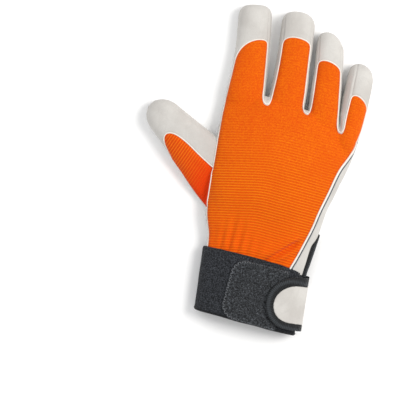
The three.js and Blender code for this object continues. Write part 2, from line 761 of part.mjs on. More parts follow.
const finish = (color, roughness) => new THREE.MeshStandardMaterial({ color, roughness, metalness: 0 });
const sheepskin = finish(0xdedbd5, 0.62);
const knit = finish(0xf26a12, 0.85);
const cuffKnit = finish(0x34363a, 0.9);
const pile = finish(0x2e3033, 0.95);
const tape = finish(0x1d1f21, 0.8);

function meshOf(name, piece, material) {
  const { numProp, vertProperties, triVerts } = piece.getMesh();
  const position = [];
  for (let i = 0; i < vertProperties.length; i += numProp) {
    position.push(vertProperties[i], vertProperties[i + 1], vertProperties[i + 2]);
  }
  const geometry = new THREE.BufferGeometry();
  geometry.setAttribute('position', new THREE.Float32BufferAttribute(position, 3));
  geometry.setIndex([...triVerts]);
  geometry.computeVertexNormals();
  const mesh = new THREE.Mesh(geometry, material);
  mesh.name = name;
  return mesh;
}

const glove = new THREE.Group();
glove.add(meshOf('palm', wall, sheepskin));
glove.add(meshOf('back_panel', backPanel, knit));
caps.forEach((cap, i) => glove.add(meshOf(`fingertip_cap_${fingers[i].name}`, cap, sheepskin)));
forks.forEach(({ name, piece }) => glove.add(meshOf(name, piece, sheepskin)));
glove.add(meshOf('thumb', thumbLeather, sheepskin));
glove.add(meshOf('thumb_back_panel', thumbPanel, knit));
glove.add(meshOf('side_welt', sideWelt, sheepskin));
glove.add(meshOf('slit_binding', slitBinding, tape));
glove.add(meshOf('cuff', cuff, cuffKnit));
glove.add(meshOf('loop_patch', patch, pile));
glove.add(meshOf('strap', strap, sheepskin));
glove.add(meshOf('strap_binding', strapBinding, tape));

// The origin is under the middle of the glove, on the floor
const box = new THREE.Box3().setFromObject(glove);
const centre = box.getCenter(new THREE.Vector3());
glove.position.set(-centre.x, -centre.y, -box.min.z);

export default glove;
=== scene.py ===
"""A right-hand work glove lying palm down: sheepskin palm, finger sides and fingertips, a ribbed
orange knit back, a charcoal knit cuff split at the little-finger side, and a closing strap.

Lengths are millimetres in the glove's own frame until a mesh is made: x runs to the little
finger, y from the cuff's mouth to the fingertips, z up from the floor.
"""

import math

import bpy
import numpy as np
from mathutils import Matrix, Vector, kdtree, noise

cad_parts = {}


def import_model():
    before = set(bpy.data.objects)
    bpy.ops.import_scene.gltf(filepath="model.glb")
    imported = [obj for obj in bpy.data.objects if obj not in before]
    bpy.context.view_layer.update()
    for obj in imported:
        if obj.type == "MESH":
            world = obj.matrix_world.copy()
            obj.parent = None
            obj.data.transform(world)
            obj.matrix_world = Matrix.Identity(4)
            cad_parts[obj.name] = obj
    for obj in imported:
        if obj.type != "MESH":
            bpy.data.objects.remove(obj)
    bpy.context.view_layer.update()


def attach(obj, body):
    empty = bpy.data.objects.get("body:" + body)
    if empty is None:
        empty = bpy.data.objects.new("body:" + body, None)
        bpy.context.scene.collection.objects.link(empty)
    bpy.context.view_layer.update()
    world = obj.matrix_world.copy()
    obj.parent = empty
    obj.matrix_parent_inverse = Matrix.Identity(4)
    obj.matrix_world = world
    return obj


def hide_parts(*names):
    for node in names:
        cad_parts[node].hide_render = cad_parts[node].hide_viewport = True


MM = 0.001
ORIGIN = np.array([33.5908, -131.1256, 0.0])
RNG = np.random.default_rng(7)

# Walls, seams and the cell of the hand's surface
WALL = 1.3
CUFF_WALL = 2.2
SEAM_GAP = 0.3
CELL = 0.8

# Palm
PALM_LENGTH = 132.0
PALM_WIDTH = 113.0
PALM_HEIGHT = 28.0
PALM_TUCK = 3.6
PALM_LEFT = [(0.1, -0.42), (0.25, -0.482), (0.42, -0.508), (0.6, -0.527), (0.76, -0.545),
             (0.9, -0.556), (0.97, -0.555), (1, -0.545)]
PALM_RIGHT = [(0.1, 0.355), (0.25, 0.362), (0.42, 0.37), (0.6, 0.405), (0.76, 0.437),
              (0.9, 0.462), (0.97, 0.465), (1, 0.46)]
PALM_TOP = [(0.1, 0.79), (0.25, 0.9), (0.42, 1), (0.6, 1), (0.76, 0.95), (0.9, 0.86),
            (0.97, 0.74), (1, 0.56)]
KNUCKLES = [(-0.56, 1), (-0.41, 1.01), (-0.26, 1.035), (0.02, 1.02), (0.32, 0.95), (0.47, 0.87)]

# Fingers: place across and along the palm, length, widths in the middle and at the root, lean,
# curl, how square the tip is, over what length it closes, how much wider it is, and its slant
FINGER_LENGTH = 98.0
FINGER_WIDTH = 27.2
FINGER_HEIGHT = 19.5
FINGER_ROOT = 18.0
FINGERS = {
    "index": (-0.412, 0.866, 0.96, 0.99, 1.18, 1, 12.3, 3.2, 13, 1.06, 0.0),
    "middle": (-0.102, 0.869, 0.988, 1, 1.14, 2, 8, 2.7, 13, 1.06, -0.08),
    "ring": (0.2, 0.829, 0.944, 0.87, 1.0, 6, 6, 2.3, 13, 0.95, -0.34),
    "little": (0.372, 0.77, 0.827, 0.8, 0.76, -3, 8, 2.3, 13, 1.0, -0.2),
}
# Knit tongues: insets of their two sides, of the finger's width, and where each side ends
TONGUES = {
    "index": (0.037, 0.074, 0.447, 0.67),
    "middle": (0.096, 0.074, 0.714, 0.719),
    "ring": (0.09, 0.085, 0.708, 0.654),
    "little": (0.275, 0.022, 0.634, 0.549),
}
FINGER_ROWS = [(0, 0.88, 1, 0.86), (0.2, 1, 1, 1.08), (0.45, 1.02, 0.35, 1.02),
               (0.75, 1, 0, 0.98), (1, 0.96, 0, 0.94)]
TIP_BLUNT = 0.3
TONGUE_SWELL = 0.34
CROTCH_START = 7.0
CROTCH_DEPTH = {"index": 10.4, "middle": 8.9, "ring": 13.2}
CROTCH_SQUARE = 2.8
GROOVE_CLEAR = 2.2

# Thumb
THUMB_LENGTH = 95.0
THUMB_TIP, THUMB_ROUNDING = 2.1, 17.0
THUMB_PANEL_LENGTH = 92.0
THUMB_WIDTH = 37.0
THUMB_HEIGHT = 21.0
THUMB_LEAN = 58.0
THUMB_ROOT = (-0.355, 0.425)
THUMB_ROWS = [(0, 1.4, 0, 0.5), (0.11, 1.37, 0, 0.56), (0.25, 1.24, 0, 0.72), (0.41, 1.1, 0, 0.92),
              (0.62, 0.93, 0, 1), (0.83, 0.8, 0, 0.98), (1, 0.76, 0, 0.92)]
THUMB_SEAM = [(-0.32, 0.735), (-0.21, 0.52), (-0.175, 0.35), (-0.2, 0.2), (-0.28, 0.15)]
THUMB_HEEL = 0.235
THUMB_WEB = 0.79
THUMB_PANEL = [(0.01, 0.06), (0.236, 0.01), (0.398, -0.02), (0.55, -0.035), (0.665, -0.085),
               (0.725, -0.17), (0.738, -0.28), (0.705, -0.37), (0.645, -0.44), (0.5, -0.54),
               (0.3, -0.62), (0.01, -0.72)]

# Heights of the seams above the floor
BACK_SEAM = 10.0
TIP_SEAM = 9.0
SIDE_SEAM = 5.0
THUMB_SEAM_HEIGHT = 6.0

# Welt and slit at the little-finger side, the leather cut back under the slit's tape
WELT_WIDTH = 2.0
WELT_INSET = [(0, 0.134), (0.2, 0.09), (0.35, 0.062), (0.5, 0.052), (0.74, 0.056), (0.88, 0.037),
              (0.975, 0.012), (1.03, 0.002)]
WELT_END = 1.03
SLIT_LENGTH = 33.0
SLIT_WIDTH = 6.0
SLIT_HEIGHT = 9.0
SLIT_UNDER = 1.4
SLIT_REACH = 12.0

# Cuff and pile patch
CUFF_WIDTH = 87.0
CUFF_LENGTH = 53.0
CUFF_DEPTH = 23.5
CUFF_SHIFT = 6.0
CUFF_MIDDLE = -5.5
CUFF_OPENS = CUFF_MIDDLE + 0.408 * CUFF_WIDTH
CUFF_SPLIT = 0.47 * CUFF_DEPTH
PATCH_START = CUFF_MIDDLE - 0.184 * CUFF_WIDTH
PATCH_END = CUFF_MIDDLE + 0.362 * CUFF_WIDTH
PATCH_LOW, PATCH_HIGH = 0.6, CUFF_LENGTH - 2.6
PATCH_CORNER = 12.0

# How far the slit lets the palm's side stand out past the cuff's top corner
SLIT_FLARE = 1.2

WRIST_Y = CUFF_LENGTH - PALM_TUCK
TUCK = (PALM_TUCK + SEAM_GAP) / PALM_LENGTH
SEAT = CUFF_WALL + SEAM_GAP


def read(rows, at):
    """A smooth curve through (place, value) rows, read at one place or at many."""
    place, value = np.array(rows, float).T
    at = np.clip(at, place[0], place[-1])
    span = np.diff(place)
    slope = np.diff(value) / span
    before, after = slope[:-1], slope[1:]
    same = before * after > 0
    inner = np.where(same, 2 * before * after / np.where(same, before + after, 1), 0)
    tangent = np.concatenate([slope[:1], inner, slope[-1:]])
    i = np.clip(np.searchsorted(place, at, side="right") - 1, 0, len(span) - 1)
    t = (at - place[i]) / span[i]
    straight = value[i] + (value[i + 1] - value[i]) * t * t * (3 - 2 * t)
    bend = tangent[i] * t * (1 - t) ** 2 - tangent[i + 1] * t * t * (1 - t)
    return straight + bend * span[i]


def column(rows, number):
    return [(row[0], row[number]) for row in rows]


def smooth_step(x):
    x = np.clip(x, 0, 1)
    return x * x * (3 - 2 * x)


# The hand's shape

SECTION_MIDDLE = 0.42
SECTION_ROUND = 2.3
SECTION_SQUARE = 2.6
SECTION_SAG = 1.35


def section(left, right, base, top, angles):
    """One cross-section: across and height at each angle, flat where it lies on its base."""
    middle = base + (top - base) * SECTION_MIDDLE
    across, up = np.cos(angles), np.sin(angles)
    power = 2 / np.where(up > 0, SECTION_ROUND, SECTION_SQUARE)
    reach = np.where(up > 0, top - middle, (middle - base) * SECTION_SAG)
    u = (left + right) / 2 + (right - left) / 2 * np.sign(across) * np.abs(across) ** power
    z = middle + reach * np.sign(up) * np.abs(up) ** power
    return u, np.maximum(z, base)


def cuff_sides(y, by=0.0):
    shift = CUFF_SHIFT * (1 - y / CUFF_LENGTH)
    return (CUFF_MIDDLE - CUFF_WIDTH / 2 + shift - by, CUFF_MIDDLE + CUFF_WIDTH / 2 + shift + by)


def palm_at(along):
    """The palm's two sides, base and top at a place along it. Its end fits in the cuff."""
    drift = CUFF_SHIFT * PALM_TUCK / CUFF_LENGTH
    left, right = cuff_sides(CUFF_LENGTH)
    out = smooth_step((along - TUCK) / (PALM_LEFT[0][0] - TUCK))

    def mix(tucked, free):
        return tucked + (free - tucked) * out

    return (mix(left + SEAT + drift, PALM_WIDTH * read(PALM_LEFT, along)),
            mix(right + SLIT_FLARE, PALM_WIDTH * read(PALM_RIGHT, along)),
            mix(SEAT, 0),
            mix(CUFF_DEPTH - SEAT, PALM_HEIGHT * read(PALM_TOP, along)))


def palm_y(x, along):
    return WRIST_Y + along * PALM_LENGTH * read(KNUCKLES, x / PALM_WIDTH)


def palm_loops(steps=110, sides=120):
    angles = np.linspace(0, 2 * math.pi, sides, endpoint=False)
    loops = []
    for along in np.linspace(0, 1, steps):
        u, z = section(*palm_at(along), angles)
        loops.append(np.column_stack([u, palm_y(u, along), z]))
    return loops


class Digit:
    """A finger or the thumb: a bent centreline with shares of a width and a height along it."""

    def __init__(self, start, length, width, root_width, height, lean, curl, tip, rounding,
                 swell, slant, rows):
        self.start = np.array(start)
        self.length, self.width, self.root_width = length, width, root_width
        self.height, self.lean, self.curl, self.rows = height, lean, curl, rows
        self.tip, self.rounding, self.swell, self.slant = tip, rounding, swell, slant

    def at(self, distance):
        share = distance / self.length
        turn = math.radians(self.lean + self.curl * share)
        half = math.radians(self.lean + self.curl * share / 2)
        centre = self.start + distance * np.array([-math.sin(half), math.cos(half)])
        forward = np.array([-math.sin(turn), math.cos(turn)])
        right = np.array([forward[1], -forward[0]])
        spread = (self.root_width - self.width) * read(column(self.rows, 2), share)
        width = self.width * read(column(self.rows, 1), share) + spread
        width *= 1 + (self.swell - 1) * smooth_step((share - 0.5) * 2)
        return centre, forward, right, width, self.height * read(column(self.rows, 3), share)

    def beside(self, distance, side, inset):
        centre, _, right, width, _ = self.at(distance)
        return centre + right * side * (width / 2 - inset)

    def loops(self, steps=60, tip_steps=16, sides=56):
        angles = np.linspace(0, 2 * math.pi, sides, endpoint=False)
        shaft = np.linspace(0, self.length - self.rounding, steps, endpoint=False)
        tip = self.length - self.rounding * np.linspace(1, 0, tip_steps) ** 1.6
        made = []
        for distance in [*shaft, *tip]:
            centre, forward, right, width, height = self.at(distance)
            left_over = 1 - min(max(self.length - distance, 0) / self.rounding, 1)
            round_off = max((1 - left_over ** self.tip) ** (1 / self.tip), TIP_BLUNT)
            lift = height * (1 - round_off) * SECTION_MIDDLE
            half = width / 2 * round_off
            u, z = section(-half, half, lift, lift + height * round_off, angles)
            ahead = u * self.slant * smooth_step(left_over * 2)
            made.append(np.column_stack([centre[0] + right[0] * u + forward[0] * ahead,
                                         centre[1] + right[1] * u + forward[1] * ahead, z]))
        return made


def digits():
    made = {}
    for name, (across, along, length, width, root, lean, curl, *end) in FINGERS.items():
        made[name] = Digit((PALM_WIDTH * across, WRIST_Y + PALM_LENGTH * along), FINGER_LENGTH * length,
                           FINGER_WIDTH * width, FINGER_WIDTH * root, FINGER_HEIGHT, lean, curl,
                           *end, FINGER_ROWS)
    across, along = THUMB_ROOT
    made["thumb"] = Digit((PALM_WIDTH * across, WRIST_Y + PALM_LENGTH * along), THUMB_LENGTH,
                          THUMB_WIDTH, THUMB_WIDTH, THUMB_HEIGHT, THUMB_LEAN, 0, THUMB_TIP,
                          THUMB_ROUNDING, 1, 0, THUMB_ROWS)
    return made


DIGITS = digits()


# Meshes

def new_object(name, points, faces, smooth_angle=None):
    """A mesh object from millimetres in the glove's frame."""
    mesh = bpy.data.meshes.new(name)
    points = np.array(points, float)
    points[:, 2] = np.maximum(points[:, 2], 0)
    placed = (points + ORIGIN) * MM
    mesh.from_pydata(placed.tolist(), [], [list(map(int, face)) for face in faces])
    mesh.update()
    made = bpy.data.objects.new(name, mesh)
    bpy.context.scene.collection.objects.link(made)
    if smooth_angle is not None:
        smooth(made, smooth_angle)
    return made


def only(obj):
    bpy.ops.object.select_all(action="DESELECT")
    obj.select_set(True)
    bpy.context.view_layer.objects.active = obj


def smooth(obj, angle=60):
    only(obj)
    bpy.ops.object.shade_smooth_by_angle(angle=math.radians(angle))


def loft_faces(rings, sides, start=0, closed=True):
    faces = []
    for i in range(rings - 1):
        for k in range(sides if closed else sides - 1):
            a = start + i * sides + k
            b = start + i * sides + (k + 1) % sides
            faces.append((a, b, b + sides, a + sides))
    return faces


def loft_triangles(rings, sides, closed=True):
    quads = np.array(loft_faces(rings, sides, closed=closed))
    return np.vstack([quads[:, [0, 1, 2]], quads[:, [0, 2, 3]]])


def hand_surface():
    """The whole hand as one closed skin of triangles, with its points in millimetres."""
    points, faces = [], []
    for loops in [palm_loops()] + [digit.loops() for digit in DIGITS.values()]:
        start = sum(map(len, points))
        sides = len(loops[0])
        points.extend(loops)
        faces += loft_faces(len(loops), sides, start)
        faces.append(tuple(range(start, start + sides))[::-1])
        end = start + (len(loops) - 1) * sides
        faces.append(tuple(range(end, end + sides)))
    hand = new_object("hand", np.vstack(points), faces)
    only(hand)
    bpy.ops.object.mode_set(mode="EDIT")
    bpy.ops.mesh.select_all(action="SELECT")
    bpy.ops.mesh.normals_make_consistent(inside=False)
    bpy.ops.object.mode_set(mode="OBJECT")
    remesh(hand, CELL)
    points, faces = arrays(hand)
    bpy.data.objects.remove(hand)
    return points, faces


def remesh(obj, cell):
    only(obj)
    change = obj.modifiers.new("cells", "REMESH")
    change.mode = "VOXEL"
    change.voxel_size = cell * MM
    bpy.ops.object.modifier_apply(modifier=change.name)


def arrays(obj):
    mesh = obj.data
    points = np.empty(len(mesh.vertices) * 3)
    mesh.vertices.foreach_get("co", points)
    mesh.calc_loop_triangles()
    faces = np.empty(len(mesh.loop_triangles) * 3, int)
    mesh.loop_triangles.foreach_get("vertices", faces)
    return points.reshape(-1, 3) / MM - ORIGIN, faces.reshape(-1, 3)


def edges_of(faces):
    pairs = np.sort(np.vstack([faces[:, [0, 1]], faces[:, [1, 2]], faces[:, [2, 0]]]), axis=1)
    return np.unique(pairs, axis=0)


def averages(points, edges, count):
    """The mean of each point's neighbours."""
    total = np.empty_like(points)
    for axis in range(points.shape[1]):
        total[:, axis] = (np.bincount(edges[:, 0], points[edges[:, 1], axis], count)
                          + np.bincount(edges[:, 1], points[edges[:, 0], axis], count))
    near = np.bincount(edges.ravel(), minlength=count)
    return total / np.maximum(near, 1)[:, None]


def relax(points, faces, rounds, amount=0.5, back=-0.53, weight=None):
    """Evens a surface out. With back it keeps its volume."""
    edges = edges_of(faces)
    points = points.copy()
    weight = 1 if weight is None else weight[:, None]
    for _ in range(rounds):
        for step in (amount, back) if back else (amount,):
            points += step * weight * (averages(points, edges, len(points)) - points)
    return points


def normals_of(points, faces):
    a, b, c = points[faces[:, 0]], points[faces[:, 1]], points[faces[:, 2]]
    face = np.cross(b - a, c - a)
    total = np.zeros_like(points)
    for corner in range(3):
        for axis in range(3):
            total[:, axis] += np.bincount(faces[:, corner], face[:, axis], len(points))
    return total / np.maximum(np.linalg.norm(total, axis=1), 1e-12)[:, None]


def signed_distance(places, outline):
    """The distance of each place to a closed outline, less than 0 inside it."""
    outline = np.asarray(outline)
    starts, ends = outline, np.roll(outline, -1, axis=0)
    runs = ends - starts
    lengths = np.maximum((runs ** 2).sum(1), 1e-12)
    out = np.empty(len(places))
    for low in range(0, len(places), 4000):
        p = places[low:low + 4000, None, :] - starts[None]
        t = np.clip((p * runs).sum(2) / lengths, 0, 1)
        near = np.sqrt(((p - t[..., None] * runs) ** 2).sum(2).min(1))
        y = places[low:low + 4000, 1, None]
        crosses = (starts[:, 1] > y) != (ends[:, 1] > y)
        rise = np.where(np.abs(runs[:, 1]) < 1e-12, 1e-12, runs[:, 1])
        at = starts[:, 0] + (y - starts[:, 1]) * runs[:, 0] / rise
        inside = (crosses & (places[low:low + 4000, 0, None] < at)).sum(1) % 2 == 1
        out[low:low + 4000] = np.where(inside, -near, near)
    return out


class Skin:
    """A surface of triangles that is cut into panels along seams, each panel with its name."""

    SNAP = 0.22
    SEAM_NEAR = 0.15

    def __init__(self, points, faces, first):
        self.points, self.faces = points, faces
        self.panel = np.full(len(faces), first, dtype=object)
        self.seamed = np.zeros(len(points), bool)

    def cut(self, field, new, within):
        """Gives the part of some panels where field(points) is below 0 a new name."""
        value = field(self.points)
        value[self.seamed & (np.abs(value) < self.SEAM_NEAR)] = 0
        active = np.isin(self.panel, within)
        edges = edges_of(self.faces[active])
        crossing = edges[value[edges[:, 0]] * value[edges[:, 1]] < 0]
        a, b = crossing.T
        t = value[a] / (value[a] - value[b])
        moves = np.concatenate([a, b])
        shares = np.concatenate([t, 1 - t])
        other = np.concatenate([b, a])
        near = (shares < self.SNAP) & ~self.seamed[moves]
        order = np.argsort(-shares[near])
        who, to, share = moves[near][order], other[near][order], shares[near][order]
        best = np.zeros(len(value), int)
        best_share = np.full(len(value), -1.0)
        best[who] = to
        best_share[who] = share
        moved = np.flatnonzero(best_share >= 0)
        shifted = self.points[moved] + (self.points[best[moved]] - self.points[moved]) * (
            best_share[moved, None])
        self.points[moved] = shifted
        value[moved] = 0
        crossing = edges[value[edges[:, 0]] * value[edges[:, 1]] < 0]
        a, b = crossing.T
        t = (value[a] / (value[a] - value[b]))[:, None]
        added = self.points[a] + (self.points[b] - self.points[a]) * t
        count = len(self.points)
        self.points = np.vstack([self.points, added])
        value = np.concatenate([value, np.zeros(len(added))])
        self.seamed = np.concatenate([self.seamed, np.ones(len(added), bool)])
        self._split(a * count + b, count)
        active = np.isin(self.panel, within)
        inside = active & (value[self.faces].sum(1) < 0)
        self.panel[inside] = new
        on = np.unique(self.faces[inside])
        self.seamed[on[value[on] == 0]] = True

    def _split(self, keys, count):
        order = np.argsort(keys)
        keys = keys[order]

        def middle(x, y):
            key = np.minimum(x, y) * count + np.maximum(x, y)
            at = np.clip(np.searchsorted(keys, key), 0, max(len(keys) - 1, 0))
            found = (keys[at] == key) if len(keys) else np.zeros(len(key), bool)
            return np.where(found, count + order[at] if len(keys) else 0, -1)

        f = self.faces
        halves = np.column_stack([middle(f[:, i], f[:, (i + 1) % 3]) for i in range(3)])
        split = (halves >= 0).sum(1)
        faces, panels = [f[split == 0]], [self.panel[split == 0]]
        for turn in range(3):
            i, j, k = turn, (turn + 1) % 3, (turn + 2) % 3
            one = (split == 1) & (halves[:, i] >= 0)
            g, m = f[one], halves[one, i]
            for part in ((g[:, i], m, g[:, k]), (m, g[:, j], g[:, k])):
                faces.append(np.column_stack(part))
                panels.append(self.panel[one])
            two = (split == 2) & (halves[:, i] >= 0) & (halves[:, k] >= 0)
            g, m, n = f[two], halves[two, i], halves[two, k]
            for part in ((g[:, i], m, n), (m, g[:, j], g[:, k]), (m, g[:, k], n)):
                faces.append(np.column_stack(part))
                panels.append(self.panel[two])
        self.faces = np.vstack(faces)
        self.panel = np.concatenate(panels)

    def drop(self, name):
        keep = self.panel != name
        self.faces, self.panel = self.faces[keep], self.panel[keep]

    def borders(self, first, second):
        """The edges where panels of one set meet panels of the other."""
        pairs = np.sort(np.vstack([self.faces[:, [0, 1]], self.faces[:, [1, 2]], self.faces[:, [2, 0]]]), 1)
        names = np.concatenate([self.panel] * 3)
        count = len(self.points)
        keys = pairs[:, 0] * count + pairs[:, 1]
        a = np.unique(keys[np.isin(names, first)])
        b = np.unique(keys[np.isin(names, second)])
        both = np.intersect1d(a, b)
        return np.column_stack([both // count, both % count])

    def part(self, names):
        """The points, normals and faces of some panels, on their own."""
        faces = self.faces[np.isin(self.panel, names)]
        used, flat = np.unique(faces, return_inverse=True)
        return self.points[used], self.normals[used], flat.reshape(-1, 3)


def thick(points, normals, faces, wall):
    """Gives a sheet an inner side and closes its rim."""
    count = len(points)
    pairs = np.vstack([faces[:, [0, 1]], faces[:, [1, 2]], faces[:, [2, 0]]])
    keys = pairs[:, 0] * count + pairs[:, 1]
    back = pairs[:, 1] * count + pairs[:, 0]
    rim = pairs[~np.isin(keys, back)]
    a, b = rim.T
    sides = np.vstack([np.column_stack([b, a, a + count]), np.column_stack([b, a + count, b + count])])
    return (np.vstack([points, points - normals * wall]),
            np.vstack([faces, faces[:, ::-1] + count, sides]))


def chains(edges):
    """Orders loose edges into runs of points. A run that closes repeats its first point."""
    near = {}
    for a, b in edges:
        near.setdefault(int(a), []).append(int(b))
        near.setdefault(int(b), []).append(int(a))
    left = {(min(a, b), max(a, b)) for a in near for b in near[a]}
    runs = []
    starts = [v for v in near if len(near[v]) != 2] + list(near)
    for start in starts:
        for step in near[start]:
            if (min(start, step), max(start, step)) not in left:
                continue
            run = [start, step]
            left.discard((min(start, step), max(start, step)))
            while len(near[run[-1]]) == 2:
                a, b = near[run[-1]]
                after = a if a != run[-2] else b
                key = (min(run[-1], after), max(run[-1], after))
                if key not in left:
                    break
                left.discard(key)
                run.append(after)
            runs.append(run)
    return runs


def evened(path, step, rounds=4):
    """A path resampled at a step and evened out, its ends kept."""
    path = np.asarray(path, float)
    for _ in range(rounds):
        path[1:-1] += 0.5 * ((path[:-2] + path[2:]) / 2 - path[1:-1])
    along = np.concatenate([[0], np.cumsum(np.linalg.norm(np.diff(path[:, :3], axis=0), axis=1))])
    count = max(int(round(along[-1] / step)), 2)
    at = np.linspace(0, along[-1], count + 1)
    return np.column_stack([np.interp(at, along, path[:, i]) for i in range(path.shape[1])])


def swept(path, normals, profile, taper=1.0):
    """Sweeps a closed profile of (aside, up) points along a path, narrower at its two ends."""
    path = np.asarray(path)
    forward = np.gradient(path, axis=0)
    forward /= np.linalg.norm(forward, axis=1)[:, None]
    aside = np.cross(forward, normals)
    aside /= np.maximum(np.linalg.norm(aside, axis=1), 1e-9)[:, None]
    up = np.cross(aside, forward)
    sides = len(profile)
    size = np.ones(len(path))
    size[0] = size[-1] = taper
    rings = [p + s * (profile[:, :1] * a + profile[:, 1:] * u)
             for p, a, u, s in zip(path, aside, up, size)]
    faces = loft_faces(len(path), sides)
    last = (len(path) - 1) * sides
    faces.append(tuple(range(sides))[::-1])
    faces.append(tuple(range(last, last + sides)))
    return np.vstack(rings), faces


def gathered(parts):
    """Joins several (points, faces) into one."""
    points, faces, start = [], [], 0
    for some, its in parts:
        points.append(some)
        faces += [tuple(int(i) + start for i in face) for face in its]
        start += len(some)
    return np.vstack(points), faces


# Seams in plan

def arc_between(left, right, steps=32):
    """The knit's edge round the crotch between two fingers, from the left one to the right one."""
    start = left.beside(FINGER_ROOT + CROTCH_START, 1, left.insets[1])
    end = right.beside(FINGER_ROOT + CROTCH_START + right.later, -1, right.insets[0])
    middle, half = (start + end) / 2, (end - start) / 2
    down = -left.crotch * left.at(FINGER_ROOT)[1]
    angles = np.linspace(0, math.pi, steps)
    power = 2 / CROTCH_SQUARE
    return [middle - half * math.copysign(abs(math.cos(a)) ** power, math.cos(a))
            + down * abs(math.sin(a)) ** power for a in angles]


def tongue_end(finger, steps=26):
    left_end, right_end = finger.ends
    a = finger.beside(left_end, -1, finger.insets[0])
    b = finger.beside(right_end, 1, finger.insets[1])
    swell = finger.width * TONGUE_SWELL
    late, early = max(right_end - left_end, 0), max(left_end - right_end, 0)
    c = a + finger.at(left_end)[1] * (swell + late * TONGUE_SWELL * 2)
    d = b + finger.at(right_end)[1] * (swell / 2 + early * TONGUE_SWELL)
    return [(1 - t) ** 3 * a + 3 * (1 - t) ** 2 * t * c + 3 * (1 - t) * t * t * d + t ** 3 * b
            for t in np.linspace(0, 1, steps)]


def tongue_side(finger, side, steps=14):
    end = finger.ends[0] if side < 0 else finger.ends[1]
    inset = finger.insets[0] if side < 0 else finger.insets[1]
    start = FINGER_ROOT + CROTCH_START + (finger.later if side < 0 else 0)
    return [finger.beside(start + (end - start) * (i + 0.5) / steps, side, inset) for i in range(steps)]


def palm_side(side, inset, end, steps=44):
    places = []
    for along in np.linspace(0, end, steps):
        left, right, _, _ = palm_at(along)
        x = left + inset(along) if side < 0 else right - inset(along)
        places.append(np.array([x, palm_y(x, along)]))
    return places


def welt_inset(along):
    return PALM_WIDTH * read(WELT_INSET, along)


# Each finger's tongue: its insets, where its sides end, how deep the crotch on its right is, where
# the groove there starts, and how much farther along its left side starts, to be level with its
# neighbour's right side
for _name, _row in TONGUES.items():
    _finger = DIGITS[_name]
    _finger.insets = (_finger.width * _row[0], _finger.width * _row[1])
    _finger.ends = (_finger.length * _row[2], _finger.length * _row[3])
    _finger.crotch = CROTCH_DEPTH.get(_name, 0)
    _finger.later = 0.0
    _finger.groove = FINGER_ROOT + CROTCH_START - _finger.crotch + GROOVE_CLEAR

for _left, _right in zip(list(FINGERS), list(FINGERS)[1:]):
    DIGITS[_right].later = DIGITS[_left].start[1] - DIGITS[_right].start[1]

# The knit's inset at the index finger's side, and how far up the palm it runs
LEFT_RIM = 1.0
LEFT_RIM_END = 0.9
BELOW_WRIST = np.array([0, -CUFF_LENGTH / 2])


def back_outline():
    down = palm_side(-1, lambda _: LEFT_RIM, LEFT_RIM_END)[::-1]
    up = palm_side(1, welt_inset, WELT_END)
    places = down + [down[-1] + BELOW_WRIST, up[0] + BELOW_WRIST] + up
    names = list(FINGERS)
    for i in range(len(names) - 1, -1, -1):
        finger = DIGITS[names[i]]
        places += tongue_side(finger, 1) + tongue_end(finger)[::-1] + tongue_side(finger, -1)[::-1]
        if i > 0:
            places += arc_between(DIGITS[names[i - 1]], finger)[::-1]
    return np.array(places)


def cap_outline(finger):
    over = finger.length + finger.rounding
    return np.array(tongue_end(finger) + [finger.beside(over, 1, finger.insets[1]),
                                          finger.beside(over, -1, finger.insets[0])])


def welt_outline():
    near = palm_side(1, welt_inset, WELT_END)
    far = palm_side(1, lambda along: welt_inset(along) - WELT_WIDTH, WELT_END)
    near[0] = near[0] + BELOW_WRIST
    far[0] = far[0] + BELOW_WRIST
    return np.array(far + near[::-1])


def fork_outline(left, right, steps=20):
    def run(digit):
        reach = np.linspace(FINGER_ROOT - CROTCH_START, digit.length + digit.rounding, steps)
        return [digit.at(distance)[0] for distance in reach]
    return np.array(run(left)[::-1] + run(right))


def through(places, steps=16):
    """A smooth curve through a few places."""
    places = [np.array(p, float) for p in places]
    padded = [2 * places[0] - places[1]] + places + [2 * places[-1] - places[-2]]
    made = []
    for i in range(len(places) - 1):
        p0, p1, p2, p3 = padded[i:i + 4]
        for t in np.linspace(0, 1, steps, endpoint=False):
            made.append(0.5 * (2 * p1 + (p2 - p0) * t + (2 * p0 - 5 * p1 + 4 * p2 - p3) * t * t
                               + (3 * p1 - p0 - 3 * p2 + p3) * t ** 3))
    return made + [places[-1]]


def thumb_outline():
    def edge(along):
        x = palm_at(along)[0]
        return np.array([x, palm_y(x, along)])
    heel, web = edge(THUMB_HEEL), edge(THUMB_WEB)
    seam = [np.array([PALM_WIDTH * across, WRIST_Y + PALM_LENGTH * along]) for across, along in THUMB_SEAM]
    far = -2 * PALM_WIDTH
    return np.array([heel - 3] + through(seam)[::-1] + [web, web + (-3, THUMB_HEIGHT / 2),
                    (far, web[1] + THUMB_LENGTH), (far, heel[1] - 3)])


def thumb_panel_outline():
    thumb = DIGITS["thumb"]
    rows = []
    for along, across in THUMB_PANEL:
        centre, _, right, _, _ = thumb.at(THUMB_PANEL_LENGTH * along)
        rows.append(centre + right * THUMB_WIDTH * across)
    return np.array(through(rows, 8))


def slit_outline(by, steps=24):
    """The slit's outline in the upright plane along the glove: (y, z)."""
    tip = CUFF_LENGTH + SLIT_LENGTH + by
    shares = np.linspace(0, 1, steps, endpoint=False)
    half = SLIT_WIDTH / 2 * np.cos(shares * math.pi / 2) ** 0.8 + by
    y = WRIST_Y + (tip - WRIST_Y) * shares
    low = [(WRIST_Y - 20, SLIT_HEIGHT - SLIT_WIDTH / 2 - by)] + list(zip(y, SLIT_HEIGHT - half))
    high = list(zip(y, SLIT_HEIGHT + half)) + [(WRIST_Y - 20, SLIT_HEIGHT + SLIT_WIDTH / 2 + by)]
    return np.array(low + [(tip, SLIT_HEIGHT)] + high[:-1][::-1] + high[-1:])


